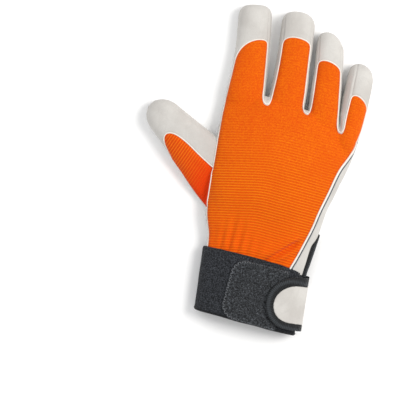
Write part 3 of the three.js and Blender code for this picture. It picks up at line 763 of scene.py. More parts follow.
# Folds and creases: start and end in plan, width, depth, and the side that they are on.
# A positive rise leaves a soft ridge on both sides of the fold.
FOLDS = [
    # gathers above the cuff
    ((-40, 52), (-42, 74), 2.2, 0.6, 1, 0.5),
    ((-34.5, 52), (-36, 82), 2.5, 1.6, 1, 0.6),
    ((-28, 52), (-29.5, 92), 2.7, 2.0, 1, 0.7),
    ((-21, 52), (-22, 88), 2.6, 1.9, 1, 0.7),
    ((-14, 52), (-14, 80), 2.5, 1.1, 1, 0.6),
    ((-6, 52), (-4, 76), 2.4, 0.8, 1, 0.5),
    ((3, 53), (8, 72), 2.4, 0.6, 1, 0.4),
    # the long slanting crease up from the cuff to the little-finger side
    ((5, 54), (34, 84), 2.4, 2.2, 1, 0.7),
    ((24, 73), (5, 54), 2.4, 2.2, 1, 0.7),
    ((18, 54), (40, 100), 3.4, 0.8, 1, 0.3),
    # creases of the palm side
    ((-50, 110), (22, 132), 2.4, 1.1, -1, 0.5),
    ((44, 150), (-30, 140), 2.4, 1.0, -1, 0.5),
    ((-8, 58), (-22, 120), 2.6, 1.2, -1, 0.5),
    ((30, 60), (38, 110), 2.6, 0.8, -1, 0.4),
    ((-34, 60), (-44, 84), 2.4, 0.9, -1, 0.5),
]


# How far before its start a fold fades in, as a share of its length; where its two ridges run, in
# widths from its middle; and how far above the cuff folds only press inwards
FOLD_BEFORE = 0.3
FOLD_RIDGE = 1.7
FOLD_CUFF = 7


def fold_shift(points, normals):
    """How far the folds press each point in."""
    shift = np.zeros(len(points))
    for start, end, width, depth, side, rise in FOLDS:
        start, end = np.array(start, float), np.array(end, float)
        run = end - start
        length = np.linalg.norm(run)
        run /= length
        place = points[:, :2] - start
        along = place @ run / length
        aside = (place @ np.array([run[1], -run[0]])) / width
        fade = np.clip(1 - np.clip(along, 0, None), 0, 1) ** 1.2 * smooth_step(along / FOLD_BEFORE + 1)
        faces_it = np.clip(normals[:, 2] * side * 2, 0, 1)
        profile = np.exp(-aside ** 2) - rise * np.exp(-(np.abs(aside) - FOLD_RIDGE) ** 2)
        shift += depth * profile * fade * faces_it
    by_cuff = 1 - smooth_step((points[:, 1] - CUFF_LENGTH - 1) / FOLD_CUFF)
    return np.maximum(shift, 0) * by_cuff + shift * (1 - by_cuff)


# The groove between touching fingers: its width and depth, over what length it moves over from the
# knit's gap to the fingers' sides, where it ends, and how near the floor it goes
GROOVE_WIDTH = 0.65
GROOVE_DEPTH = 5.0
GROOVE_BLEND = 16.0
GROOVE_END = 62.0
GROOVE_FLOOR = 3.0


def finger_grooves(points):
    """Parts the fingers where they touch: a narrow deep groove down to the crotch."""
    names = list(FINGERS)
    for left, right in zip(names, names[1:]):
        left, right = DIGITS[left], DIGITS[right]
        steps = np.linspace(left.groove, GROOVE_END, 60)
        late = right.later
        walls = [(left.beside(d, 1, 0), right.beside(d + late, -1, 0)) for d in steps]
        seam = left.insets[1], right.insets[0]
        share = smooth_step((steps - left.groove) / GROOVE_BLEND)[:, None]
        path = np.array([(a + b) / 2 for a, b in walls]) * share + (1 - share) * np.array(
            [(left.beside(d, 1, seam[0]) + right.beside(d + late, -1, seam[1])) / 2 for d in steps])
        gap = np.array([(b - a) @ right.at(d)[2] for (a, b), d in zip(walls, steps)])
        near = np.flatnonzero(in_box(points, path, 4) & (points[:, 2] > GROOVE_FLOOR))
        away = np.linalg.norm(points[near, None, :2] - path[None], axis=2)
        closest = away.argmin(1)
        depth = GROOVE_DEPTH * smooth_step(1.4 - gap[closest] / 3) * smooth_step((closest + 2) / 8)
        drop = depth * np.exp(-(away.min(1) / GROOVE_WIDTH) ** 2)
        points[near, 2] = np.maximum(points[near, 2] - drop, GROOVE_FLOOR)
    return points


def in_box(points, path, margin):
    """Which points lie in the box round a path in plan."""
    low, high = path.min(0) - margin, path.max(0) + margin
    return ((points[:, :2] > low) & (points[:, :2] < high)).all(1)


def unevenness(points, size, seed):
    offset = Vector((seed, seed * 1.7, seed * 0.3))
    return np.array([noise.noise(Vector(p / size) + offset) for p in points])


# Rounds of evening out: of the whole hand, keeping its volume and not, and at the outer finger
# roots, with how far round them
HAND_ROUNDS = 10
EVEN_ROUNDS = 3
ROOT_ROUNDS, ROOT_REACH = 24, 9
# Unevenness: height, size and seed
HAND_WAVE = (0.45, 17, 3.1)
CUFF_WAVE = (0.5, 15, 8.4)
PATCH_WAVE = (0.25, 3, 5.0)


def hand_skin():
    """The hand's skin, folded and cut into its panels."""
    points, faces = hand_surface()
    points = relax(points, faces, HAND_ROUNDS)
    points = relax(points, faces, EVEN_ROUNDS, back=0)
    for finger, side in ((DIGITS["little"], 1), (DIGITS["index"], -1)):
        away = np.linalg.norm(points[:, :2] - finger.beside(0, side, 0), axis=1)
        points = relax(points, faces, ROOT_ROUNDS, back=0, weight=np.exp(-(away / ROOT_REACH) ** 2))
    points[:, 2] = np.maximum(points[:, 2], 0)
    points = finger_grooves(points)
    points = relax(points, faces, 1, back=0)
    normals = normals_of(points, faces)
    points -= normals * fold_shift(points, normals)[:, None]
    high, size, seed = HAND_WAVE
    points += normals * (high * unevenness(points, size, seed) * np.clip(points[:, 2] / 4, 0, 1))[:, None]
    points[:, 2] = np.maximum(points[:, 2], 0)

    skin = Skin(points, faces, "palm")
    skin.cut(lambda p: p[:, 1] - (WRIST_Y + 0.6), "end", ["palm"])
    skin.drop("end")

    def above(outline, height):
        return lambda p: np.maximum(signed_distance(p[:, :2], outline), height - p[:, 2])

    skin.cut(above(back_outline(), BACK_SEAM), "back_panel", ["palm"])
    for name in FINGERS:
        skin.cut(above(cap_outline(DIGITS[name]), TIP_SEAM), "fingertip_cap_" + name, ["palm"])
    skin.cut(above(welt_outline(), BACK_SEAM), "side_welt", ["palm"])
    slit = slit_outline(SLIT_UNDER)
    reach = cuff_sides(CUFF_LENGTH)[1] - SLIT_REACH
    skin.cut(lambda p: np.maximum(signed_distance(p[:, 1:], slit), reach - p[:, 0]), "slit", ["palm"])
    skin.drop("slit")
    names = list(FINGERS)
    for left, right in zip(names, names[1:]):
        skin.cut(above(fork_outline(DIGITS[left], DIGITS[right]), SIDE_SEAM),
                 "fourchette_" + left + "_" + right, ["palm"])
    skin.cut(lambda p: signed_distance(p[:, :2], thumb_outline()), "thumb", ["palm"])
    skin.cut(above(thumb_panel_outline(), THUMB_SEAM_HEIGHT), "thumb_back_panel", ["thumb"])
    return skin


KNIT_PANELS = ["back_panel", "thumb_back_panel"]
LEATHER_PANELS = (["palm", "thumb", "side_welt"] + ["fingertip_cap_" + n for n in FINGERS]
                  + ["fourchette_index_middle", "fourchette_middle_ring", "fourchette_ring_little"])


def nearest(points, targets):
    tree = kdtree.KDTree(len(targets))
    for i, target in enumerate(targets):
        tree.insert(target, i)
    tree.balance()
    return np.array([tree.find(p)[2] for p in points])


# Relief beside seams: height, distance from the seam, and width
KNIT_SINK = (-0.5, 0, 1.3)
KNIT_SWELL = (0.35, 4, 2.6)
TURNED_SWELL = (0.25, 1.6, 0.8)
SEAM_SINK = (-0.45, 0, 0.75)
SEAM_SWELL = (0.16, 1.7, 0.8)


def relief(away, height, place, width):
    return height * np.exp(-((away - place) / width) ** 2)


def press_seams(skin):
    """Sinks the knit where it meets leather, and grooves the seams between leather panels."""
    normals = normals_of(skin.points, skin.faces)
    knit_edge = np.unique(skin.borders(KNIT_PANELS, LEATHER_PANELS))
    away = nearest(skin.points, skin.points[knit_edge])
    knit = np.zeros(len(skin.points), bool)
    knit[np.unique(skin.faces[np.isin(skin.panel, KNIT_PANELS)])] = True
    shift = relief(away, *KNIT_SINK)
    shift += np.where(knit, relief(away, *KNIT_SWELL), relief(away, *TURNED_SWELL))
    seams = [edge for name in LEATHER_PANELS if name != "palm"
             for edge in skin.borders([name], [n for n in LEATHER_PANELS if n != name])]
    seam_points = np.unique(np.array(seams))
    away = nearest(skin.points, skin.points[seam_points])
    shift += relief(away, *SEAM_SINK) + relief(away, *SEAM_SWELL)
    skin.points = skin.points + normals * shift[:, None]
    skin.points[:, 2] = np.maximum(skin.points[:, 2], 0)
    skin.normals = normals_of(skin.points, skin.faces)
    return skin


# Finishes

class Reading:
    """A number that changes over a surface. Arithmetic on it adds its Math nodes."""

    def __init__(self, finish, socket):
        self.finish, self.socket = finish, socket

    def maths(self, operation, *others):
        return self.finish.maths(operation, self, *others)

    def __add__(self, other):
        return self.maths("ADD", other)

    __radd__ = __add__

    def __sub__(self, other):
        return self.maths("SUBTRACT", other)

    def __rsub__(self, other):
        return self.finish.maths("SUBTRACT", other, self)

    def __mul__(self, other):
        return self.maths("MULTIPLY", other)

    __rmul__ = __mul__

    def sine(self):
        return self.maths("SINE")

    def size(self):
        return self.maths("ABSOLUTE")

    def ramp(self, low, high):
        """From 0 at low to 1 at high, smoothly, and flat beyond them."""
        settings = {"interpolation_type": "SMOOTHSTEP"}
        values = {0: self, 1: low, 2: high, 3: 0.0, 4: 1.0}
        return Reading(self.finish, self.finish.node("MapRange", settings, values).outputs[0])


class Finish:
    """A material made of nodes on the object's own coordinates, in metres."""

    def __init__(self, name, **shader):
        self.material = bpy.data.materials.new(name)
        self.material.use_nodes = True
        self.tree = self.material.node_tree
        self.shader = self.tree.nodes["Principled BSDF"]
        for socket, value in shader.items():
            self.shader.inputs[socket.replace("_", " ")].default_value = value
        self.place = self.node("TexCoord").outputs["Object"]

    def node(self, kind, settings=None, values=None):
        made = self.tree.nodes.new("ShaderNode" + kind)
        for name, value in (settings or {}).items():
            setattr(made, name, value)
        for key, value in (values or {}).items():
            if isinstance(value, Reading):
                value = value.socket
            if isinstance(value, bpy.types.NodeSocket):
                self.tree.links.new(value, made.inputs[key])
            else:
                made.inputs[key].default_value = value
        return made

    def maths(self, operation, *values):
        made = self.node("Math", {"operation": operation}, dict(enumerate(values)))
        return Reading(self, made.outputs[0])

    def axes(self, turn=0.0, stretch=(1, 1, 1)):
        """The place turned about z and stretched, as a vector and its three readings."""
        values = {"Vector": self.place, "Rotation": (0, 0, turn), "Scale": stretch}
        mapped = self.node("Mapping", None, values).outputs[0]
        split = self.node("SeparateXYZ", None, {0: mapped})
        return mapped, [Reading(self, out) for out in split.outputs]

    def noise(self, scale, detail=3.0, rough=0.5, place=None, twist=0.0):
        values = {"Vector": place or self.place, "Scale": scale, "Detail": detail,
                  "Roughness": rough, "Distortion": twist}
        return Reading(self, self.node("TexNoise", None, values).outputs["Fac"])

    def cells(self, scale, feature="F1", place=None):
        made = self.node("TexVoronoi", {"feature": feature}, {"Vector": place or self.place, "Scale": scale})
        return Reading(self, made.outputs["Distance"])

    def blend(self, factor, first, second, how="MIX"):
        """Mixes two colours, each a colour or a socket."""
        settings = {"data_type": "RGBA", "blend_type": how, "clamp_factor": True}
        values = {0: factor, 6: first, 7: second}
        return self.node("Mix", settings, values).outputs[2]

    def finish(self, colour, rough, height=None, depth=0.3, strength=1.0):
        links = self.tree.links
        links.new(colour, self.shader.inputs["Base Color"])
        links.new(rough.socket, self.shader.inputs["Roughness"])
        if height is not None:
            bump = self.node("Bump", None, {"Strength": strength, "Distance": depth * MM,
                                            "Height": height})
            links.new(bump.outputs[0], self.shader.inputs["Normal"])
        return self.material


def colour(red, green, blue):
    """A colour given as the eye's 0 to 255."""
    def linear(c):
        c /= 255
        return c / 12.92 if c <= 0.04045 else ((c + 0.055) / 1.055) ** 2.4
    return (linear(red), linear(green), linear(blue), 1)


def sheepskin(name, light=(203, 200, 195), dark=(188, 184, 179), turn=0.0):
    f = Finish(name, Sheen_Weight=0.1, Sheen_Roughness=0.5, Specular_IOR_Level=0.3)
    drawn, _ = f.axes(turn, (1.0, 0.35, 1.0))
    blotch = f.noise(34, 3, 0.55)
    fine = f.noise(620, 4, 0.6)
    pores = f.cells(760)
    crease = (f.noise(90, 2, 0.4, drawn, 0.4) - 0.5).size()
    lines = 1 - crease.ramp(0.0, 0.03)
    tint = f.blend(blotch.ramp(0.32, 0.68), colour(*dark), colour(*light))
    # The crease lines are painted darker as well as pressed in: painted shade in the creases.
    tint = f.blend(lines * 0.08, tint, colour(170, 166, 160))
    tint = f.blend((pores * 0.9).ramp(0.1, 0.6) * 0.07, tint, colour(150, 146, 140))
    height = fine * 0.5 + pores * 0.45 - lines * 0.4 + blotch * 1.4
    return f.finish(tint, 0.56 + 0.2 * fine, height, 0.35, 0.55)


def ribbed_knit(name, pitch, turn, full, none, light, dark, sway=0.0, deep=None):
    """Knit whose ribs cross the turned y axis and fade out from full to none along it."""
    f = Finish(name, Sheen_Weight=0.08, Sheen_Roughness=0.4, Specular_IOR_Level=0.12)
    _, (x, y, _) = f.axes(turn)
    sag = sway * (0.02 - x).maths("SMOOTH_MAX", 0.0, 0.012)
    phase = (y + sag + 0.0012 * f.noise(26, 2)) * (math.pi / (pitch * MM))
    rib = 1 - phase.sine().size()
    stitch = (x * (math.pi / (0.95 * MM)) + phase * 0.5).sine().size()
    fuzz = f.noise(900, 4, 0.65)
    shade = f.noise(30, 3, 0.55)
    strong = 1 - (y + 0.012 * shade).ramp(full, none) * 0.85
    # The rib crests are painted lighter and the grooves darker: painted highlight and painted shade, with
    # random fuzz tone on top.
    tint = f.blend(rib.ramp(0.2, 0.9) * strong * 0.8 + fuzz.ramp(0.35, 0.7) * (0.5 - 0.3 * strong),
                   colour(*dark), colour(*light))
    tint = f.blend(shade.ramp(0.35, 0.75) * 0.3, tint, colour(*dark))
    # deep paints a darker, redder tint towards one end: painted shade, near the cuff on the back and at the
    # thumb's root where it dips under the palm.
    if deep:
        tint = f.blend(y.ramp(*deep[0]) * deep[2], tint, colour(*deep[1]))
    height = rib * strong + stitch * 0.22 + fuzz * 0.4
    return f.finish(tint, 0.78 + 0.14 * fuzz, height, 0.5, 0.8)


def cuff_knit(name):
    """Charcoal knit, painted darker at its turned hem at the mouth and along where it meets the hand:
    painted shade in both places.
    """
    f = Finish(name, Sheen_Weight=0.15, Sheen_Roughness=0.5, Specular_IOR_Level=0.15)
    _, (_, y, _) = f.axes()
    mouth = ORIGIN[1] * MM
    hem = 1 - y.ramp(mouth + 1.4 * MM, mouth + 3.0 * MM)
    join_shade = y.ramp(mouth + (CUFF_LENGTH - 0.8) * MM, mouth + (CUFF_LENGTH + 1.2) * MM)
    fuzz = f.noise(1050, 3, 0.75)
    hair = f.noise(2200, 2, 0.6)
    shade = f.noise(60, 3, 0.6)
    flecks = f.cells(700)
    tint = f.blend(fuzz.ramp(0.41, 0.61), colour(13, 14, 17), colour(61, 64, 69))
    tint = f.blend(shade.ramp(0.4, 0.8) * 0.4, tint, colour(36, 38, 42))
    tint = f.blend((1 - flecks).ramp(0.7, 0.98) * fuzz.ramp(0.5, 0.62) * 0.8, tint, colour(112, 116, 121))
    # The mouth's hem is painted darker: painted shade at the cuff's opening.
    tint = f.blend(hem * 0.8, tint, colour(14, 15, 17))
    # Painted shade along the cuff's top edge, where the hand's edge sits over it.
    tint = f.blend(join_shade * 0.5, tint, colour(18, 18, 20))
    return f.finish(tint, 0.85 + 0.1 * hair, fuzz + hair * 0.5 + flecks * 0.4, 0.4, 0.8)


def pile_finish(name):
    f = Finish(name, Sheen_Weight=0.2, Sheen_Roughness=0.5, Specular_IOR_Level=0.2)
    fuzz = f.noise(850, 4, 0.75)
    tufts = f.cells(560)
    tint = f.blend(fuzz.ramp(0.4, 0.62), colour(18, 19, 21), colour(98, 102, 107))
    tint = f.blend(tufts.ramp(0.1, 0.7) * 0.55, tint, colour(20, 21, 23))
    return f.finish(tint, 0.82 + 0.12 * fuzz, fuzz + tufts, 0.5, 0.9)


def tape_finish(name):
    """Woven edge tape with ribs across it, read from how far along the tape a point is, with its crown
    painted lighter and its edges darker as painted highlight and painted shade.
    """
    f = Finish(name, Sheen_Weight=0.15, Sheen_Roughness=0.4, Specular_IOR_Level=0.3)
    run = Reading(f, f.node("Attribute", {"attribute_name": "along"}).outputs["Fac"])
    crown = Reading(f, f.node("Attribute", {"attribute_name": "crown"}).outputs["Fac"])
    rib = (run * (math.pi / (1.4 * MM))).sine().size()
    fuzz = f.noise(900, 3, 0.65)
    # The crown term is painted light: lighter on the tape's crown, darker at its edges.
    shade = rib.ramp(0.2, 0.95) * 0.4 + fuzz.ramp(0.4, 0.7) * 0.4 + (crown.ramp(0.2, 0.95) - 0.5) * 0.6
    tint = f.blend(shade, colour(8, 9, 10), colour(58, 62, 66))
    return f.finish(tint, 0.62 + 0.25 * fuzz, rib + fuzz * 0.5, 0.35, 0.8)


def thread_finish(name, light, dark):
    f = Finish(name, Specular_IOR_Level=0.4)
    twist = f.noise(2400, 2, 0.5)
    return f.finish(f.blend(twist, colour(*dark), colour(*light)), 0.5 + 0.2 * twist, twist, 0.15, 0.6)


def floor_finish():
    f = Finish("studio_floor", Specular_IOR_Level=0.1)
    soft = f.noise(3, 2)
    return f.finish(f.blend(soft, colour(252, 252, 252), colour(254, 254, 254)), 0.9 + 0.05 * soft)


# Pieces

def piece(obj, material, slot, *nodes):
    obj.data.materials.clear()
    obj.data.materials.append(material)
    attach(obj, "root")
    if nodes:
        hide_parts(*nodes)
    return obj


def dress_hand(finishes):
    skin = press_seams(hand_skin())
    for name in sorted(set(skin.panel)):
        points, faces = thick(*skin.part([name]), WALL)
        obj = new_object(name + "_skin", points, faces, 50)
        knit = name in KNIT_PANELS
        finish = finishes[name] if name in finishes else finishes["sheepskin"]
        piece(obj, finish, "knit" if knit else "sheepskin", name)
    # The turned edges and the piping take the lighter sheepskin: painted highlight on the raised edges.
    piece(new_object("turned_edges", *edge_rims(skin), 50), finishes["rim"], "sheepskin")
    piece(new_object("welt_piping", *welt_piping(skin), 50), finishes["rim"], "sheepskin")
    # A dark tube in the welt's seam: painted shadow.
    piece(new_object("welt_seam_line", *welt_shadow_line(skin), 50), finishes["seam_painted_shadow"], "tape")
    return skin


# Beads along seams, with how far up the piping and the dark seam line, a painted shadow in the welt's seam,
# are lifted
RIM_WIDTH, RIM_HEIGHT = 1.05, 0.55
PIPING_WIDTH, PIPING_HEIGHT, PIPING_LIFT = 1.5, 0.75, 0.45
SEAM_LINE, SEAM_LINE_LIFT = 0.42, 0.25
SHORTEST_RUN = 12


def half_round(width, height, sides=12):
    angles = np.linspace(0, 2 * math.pi, sides, endpoint=False)
    return np.column_stack([np.cos(angles) * width / 2, np.sin(angles) * height])


def beads(skin, edges, profile, beside, lift=0.2, step=0.8, rounds=14):
    """Rounded beads along seams, moved a little from the knit to the leather."""
    parts = []
    for run in chains(edges):
        if len(run) < SHORTEST_RUN:
            continue
        raw = np.column_stack([skin.points[run], skin.normals[run], outward(skin, run)])
        path = evened(evened(raw, step, 2), step, rounds)
        normals = path[:, 3:6] / np.linalg.norm(path[:, 3:6], axis=1)[:, None]
        aside = path[:, 6:9] / np.maximum(np.linalg.norm(path[:, 6:9], axis=1), 1e-6)[:, None]
        centre = path[:, :3] + aside * beside + normals * lift
        centre[:, 2] = np.maximum(centre[:, 2], profile[:, 1].max())
        parts.append(swept(centre, normals, profile, 0.4))
    return gathered(parts)


def edge_rims(skin):
    """The leather's turned edge as a low rounded bead beside the knit."""
    plain = [n for n in LEATHER_PANELS if n != "side_welt"]
    edges = np.vstack([skin.borders(KNIT_PANELS, plain), skin.borders(["back_panel"], ["thumb_back_panel"])])
    return beads(skin, edges, half_round(RIM_WIDTH, RIM_HEIGHT), RIM_WIDTH * 0.35)


def welt_piping(skin):
    profile = half_round(PIPING_WIDTH, PIPING_HEIGHT)
    return beads(skin, skin.borders(["back_panel"], ["side_welt"]), profile, PIPING_WIDTH * 0.42,
                 PIPING_LIFT, rounds=24)


def welt_shadow_line(skin):
    """A dark tube where the welt is sewn to the palm: painted shadow in the seam's groove."""
    rest = [n for n in LEATHER_PANELS if n != "side_welt"]
    profile = half_round(SEAM_LINE * 2, SEAM_LINE)
    return beads(skin, skin.borders(["side_welt"], rest), profile, 0.0, SEAM_LINE_LIFT, rounds=20)


def outward(skin, run):
    """The direction from each point of a knit edge into the leather beside it."""
    leather = skin.faces[np.isin(skin.panel, LEATHER_PANELS)]
    middles = skin.points[leather].mean(1)
    count = len(skin.points)
    total = np.zeros((count, 3))
    near = np.zeros(count)
    for corner in range(3):
        for axis in range(3):
            total[:, axis] += np.bincount(leather[:, corner], middles[:, axis], count)
        near += np.bincount(leather[:, corner], minlength=count)
    run = np.array(run)
    return total[run] / np.maximum(near[run], 1)[:, None] - skin.points[run]


# The cuff: how far its two ends are rounded, how far its top edge bows, its hem and its ribs
CUFF_CORNER = 2.0
CUFF_BOW = 1.5
CUFF_ROWS = 44
HEM_HEIGHT, HEM_MIDDLE, HEM_HALF = 0.45, 1.8, 2.2
RIBS = 118
RIB_SAMPLES = 6
RIB_HEIGHT = 0.28


def cuff_shell():
    """The cuff as a ribbed tube, cut away at the little-finger side below the split."""
    count = RIBS * RIB_SAMPLES
    fine = np.linspace(0, 2 * math.pi, 2400, endpoint=False) - math.pi / 2
    loops = []
    ends = CUFF_CORNER * (1 - np.cos(np.linspace(0, math.pi / 2, 7)))
    middle = np.linspace(CUFF_CORNER, CUFF_LENGTH - CUFF_CORNER, CUFF_ROWS - 2 * len(ends))
    for y in [*ends, *middle, *(CUFF_LENGTH - ends[::-1])]:
        from_end = max(1 - min(y, CUFF_LENGTH - y) / CUFF_CORNER, 0)
        turned_in = CUFF_CORNER * (1 - math.sqrt(1 - from_end ** 2)) * 0.8
        u, z = section(*cuff_sides(y, -turned_in), 0, CUFF_DEPTH - turned_in * 0.6, fine)
        loop = np.column_stack([u, z])
        closed = np.vstack([loop, loop[:1]])
        run = np.concatenate([[0], np.cumsum(np.linalg.norm(np.diff(closed, axis=0), axis=1))])
        at = np.linspace(0, run[-1], count, endpoint=False)
        even = np.column_stack([np.interp(at, run, closed[:, i]) for i in range(2)])
        ahead = np.roll(even, -3, axis=0) - np.roll(even, 3, axis=0)
        out = np.column_stack([ahead[:, 1], -ahead[:, 0]])
        out /= np.maximum(np.linalg.norm(out, axis=1), 1e-9)[:, None]
        phase = np.arange(count) / RIB_SAMPLES * math.pi
        hem = HEM_HEIGHT * smooth_step(1 - abs(y - HEM_MIDDLE) / HEM_HALF)
        rib = RIB_HEIGHT * (np.abs(np.sin(phase)) - 1) * (1 - smooth_step(1 - (y - 2) / 1.5))
        even = even + out * (rib + hem - 0.3)[:, None]
        loops.append(np.column_stack([even[:, 0], np.full(count, y), even[:, 1]]))
    points = np.vstack(loops)
    left, right = cuff_sides(points[:, 1])
    across = (points[:, 0] - left) / (right - left)
    points[:, 1] += CUFF_BOW * (points[:, 1] / CUFF_LENGTH) ** 3 * np.clip(4 * across * (1 - across), 0, 1)
    faces = loft_triangles(CUFF_ROWS, count)
    normals = normals_of(points, faces)
    if (normals[:, 2] * (points[:, 2] - CUFF_DEPTH / 2)).sum() < 0:
        faces = faces[:, ::-1]
        normals = -normals
    high, size, seed = CUFF_WAVE
    points = points + normals * (high * unevenness(points, size, seed))[:, None]
    points[:, 2] = np.maximum(points[:, 2], 0)
    skin = Skin(points, faces, "cuff")
    skin.cut(lambda p: np.maximum(CUFF_OPENS - p[:, 0], p[:, 2] - CUFF_SPLIT), "gap", ["cuff"])
    skin.drop("gap")
    skin.normals = normals_of(skin.points, skin.faces)
    points, faces = thick(*skin.part(["cuff"]), CUFF_WALL - 0.4)
    return new_object("cuff_knit", points, faces, 60)


def cuff_top(x, y, by):
    """The height of the cuff's back at a place, grown by a distance."""
    left, right = cuff_sides(y, by)
    middle = CUFF_DEPTH * SECTION_MIDDLE
    share = np.clip(np.abs((x - (left + right) / 2) / ((right - left) / 2)), 0, 1)
    return middle + (CUFF_DEPTH + by - middle) * (1 - share ** SECTION_ROUND) ** (1 / SECTION_ROUND)


def patch_outline(inset=0.0, steps=14):
    low, high = PATCH_LOW + inset, PATCH_HIGH - inset
    left, right, r = PATCH_START + inset, PATCH_END - inset, PATCH_CORNER - inset

    def corner(x, y, start):
        return [(x + r * math.cos(a), y + r * math.sin(a))
                for a in np.linspace(start, start + math.pi / 2, steps)]
    return np.array([(right, low), (right, high)] + corner(left + r, high - r, math.pi / 2)
                    + corner(left + r, low + r, math.pi))


# The slit's tape: its width on the lower lip and at the tip, how much of it shows from above, its
# thickness, how far it turns in over the lips, and the step along it
TAPE_LOWER, TAPE_TIP = 3.4, 3.6
TAPE_SEEN = 3.3
TAPE_THICK = 1.35
TAPE_INSIDE = 0.9
TAPE_STEP = 0.9


def seen_height(y):
    """The height where the palm's side has come in by the width of tape seen from above."""
    left, right, base, top = palm_at(np.maximum((y - WRIST_Y) / PALM_LENGTH / 0.93, 0))
    middle = base + (top - base) * SECTION_MIDDLE
    share = 1 - TAPE_SEEN / ((right - left) / 2)
    return middle + (top - middle) * (1 - share ** SECTION_ROUND) ** (1 / SECTION_ROUND)


def side_x(y, z):
    """How far out the palm's little-finger side is at a place along the glove and a height."""
    along = (y - WRIST_Y) / PALM_LENGTH
    for _ in range(4):
        left, right, base, top = palm_at(np.maximum(along, 0))
        along = (y - WRIST_Y) / PALM_LENGTH / read(KNUCKLES, right / PALM_WIDTH)
    middle = base + (top - base) * SECTION_MIDDLE
    above = z > middle
    reach = np.where(above, top - middle, (middle - base) * SECTION_SAG)
    power = np.where(above, SECTION_ROUND, SECTION_SQUARE)
    share = np.clip(np.abs(z - middle) / reach, 0, 1)
    return (left + right) / 2 + (right - left) / 2 * (1 - share ** power) ** (1 / power)


def slit_tape(finish, across=12):
    """Tape folded round the slit's lips, wider on the upper one, drawn to a point at its end."""
    path = evened(slit_outline(0.0, 40)[1:-1], TAPE_STEP, 6)
    ahead = np.gradient(path, axis=0)
    ahead /= np.linalg.norm(ahead, axis=1)[:, None]
    out = np.column_stack([ahead[:, 1], -ahead[:, 0]])
    tip = path[:, 0].argmax()
    count = len(path)
    place = np.arange(count)
    upper = seen_height(path[:, 0]) - path[:, 1]
    width = np.where(place < tip, TAPE_LOWER + (TAPE_TIP - TAPE_LOWER) * place / tip,
                     TAPE_TIP + (upper - TAPE_TIP) * smooth_step((place - tip) / (count - tip) * 3))
    shares = np.linspace(0, 1, across)
    reach = -TAPE_INSIDE + (width[:, None] + TAPE_INSIDE) * shares
    y = path[:, None, 0] + out[:, None, 0] * reach
    z = np.clip(path[:, None, 1] + out[:, None, 1] * reach, 0.4, None)
    lift = TAPE_THICK * (1 - np.abs(2 * shares - 1) ** 3.5) ** 0.5
    x = side_x(y.ravel(), z.ravel()).reshape(y.shape) + lift[None] + 0.1
    points = np.column_stack([x.ravel(), y.ravel(), z.ravel()])
    faces = loft_triangles(count, across, closed=False)
    normals = normals_of(points, faces)
    if normals[:, 0].mean() < 0:
        faces, normals = faces[:, ::-1], -normals
    # How near the crown each point is, for the tape's painted highlight and painted shade.
    crown = np.tile(1 - np.abs(2 * shares - 1), count)
    along = np.repeat(np.arange(count) * TAPE_STEP, across)
    points, faces = thick(points, normals, faces, TAPE_THICK + 0.3)
    made = piece(new_object("slit_tape", points, faces, 60), finish, "tape", "slit_binding")
    mark_tape(made, np.tile(along, 2), np.tile(crown, 2))


# The patch: its yarn loops, the cell of its sheet, and how far it stands off the cuff
PILE_LOOPS = 3400
PATCH_CELL = 0.8
PATCH_RISE = 0.8


def pile_patch(finish):
    """A sheet over the cuff's back with small loops of yarn all over it."""
    xs = np.arange(PATCH_START - 1, PATCH_END + 1, PATCH_CELL)
    ys = np.arange(PATCH_LOW - 1, PATCH_HIGH + 1, PATCH_CELL)
    x, y = np.meshgrid(xs, ys)
    x, y = x.ravel(), y.ravel()
    points = np.column_stack([x, y, cuff_top(x, y, SEAM_GAP + PATCH_RISE)])
    high, size, seed = PATCH_WAVE
    points[:, 2] += high * unevenness(points, size, seed)
    skin = Skin(points, loft_triangles(len(ys), len(xs), closed=False), "rest")
    outline = patch_outline()
    skin.cut(lambda p: signed_distance(p[:, :2], outline), "patch", ["rest"])
    skin.normals = normals_of(skin.points, skin.faces)
    edge = np.unique(skin.borders(["patch"], ["rest"]))
    away = nearest(skin.points, skin.points[edge])
    skin.points[:, 2] -= 0.6 * np.exp(-(away / 0.8) ** 2)
    points, faces = thick(*skin.part(["patch"]), 0.7)
    parts = [(points, [tuple(face) for face in faces])]
    inside = patch_outline(0.7)
    spots = np.column_stack([RNG.uniform(PATCH_START, PATCH_END, PILE_LOOPS * 2),
                             RNG.uniform(PATCH_LOW, PATCH_HIGH, PILE_LOOPS * 2)])
    spots = spots[signed_distance(spots, inside) < 0][:PILE_LOOPS]
    for px, py in spots:
        parts.append(yarn_loop(px, py, cuff_top(px, py, SEAM_GAP + 0.75)))
    obj = new_object("loop_pile", *gathered(parts), 60)
    return piece(obj, finish, "pile", "loop_patch")


def yarn_loop(x, y, z):
    """One small arch of yarn, leaning a little."""
    radius, thick_by = RNG.uniform(0.32, 0.55), RNG.uniform(0.1, 0.16)
    turn, lean = RNG.uniform(0, math.pi), RNG.uniform(-0.7, 0.7)
    angles = np.linspace(0, math.pi, 5)
    reach = np.cos(angles) * radius
    rise = np.sin(angles) * radius * 1.1
    aside = np.array([math.cos(turn), math.sin(turn), 0])
    up = np.array([-math.sin(turn) * math.sin(lean), math.cos(turn) * math.sin(lean), math.cos(lean)])
    path = np.array([x, y, z]) + reach[:, None] * aside + rise[:, None] * up
    square = np.array([(1, 0), (0, 1), (-1, 0), (0, -1)]) * thick_by
    normal = np.tile(np.cross(aside, up), (len(path), 1))
    return swept(path, normal, square)


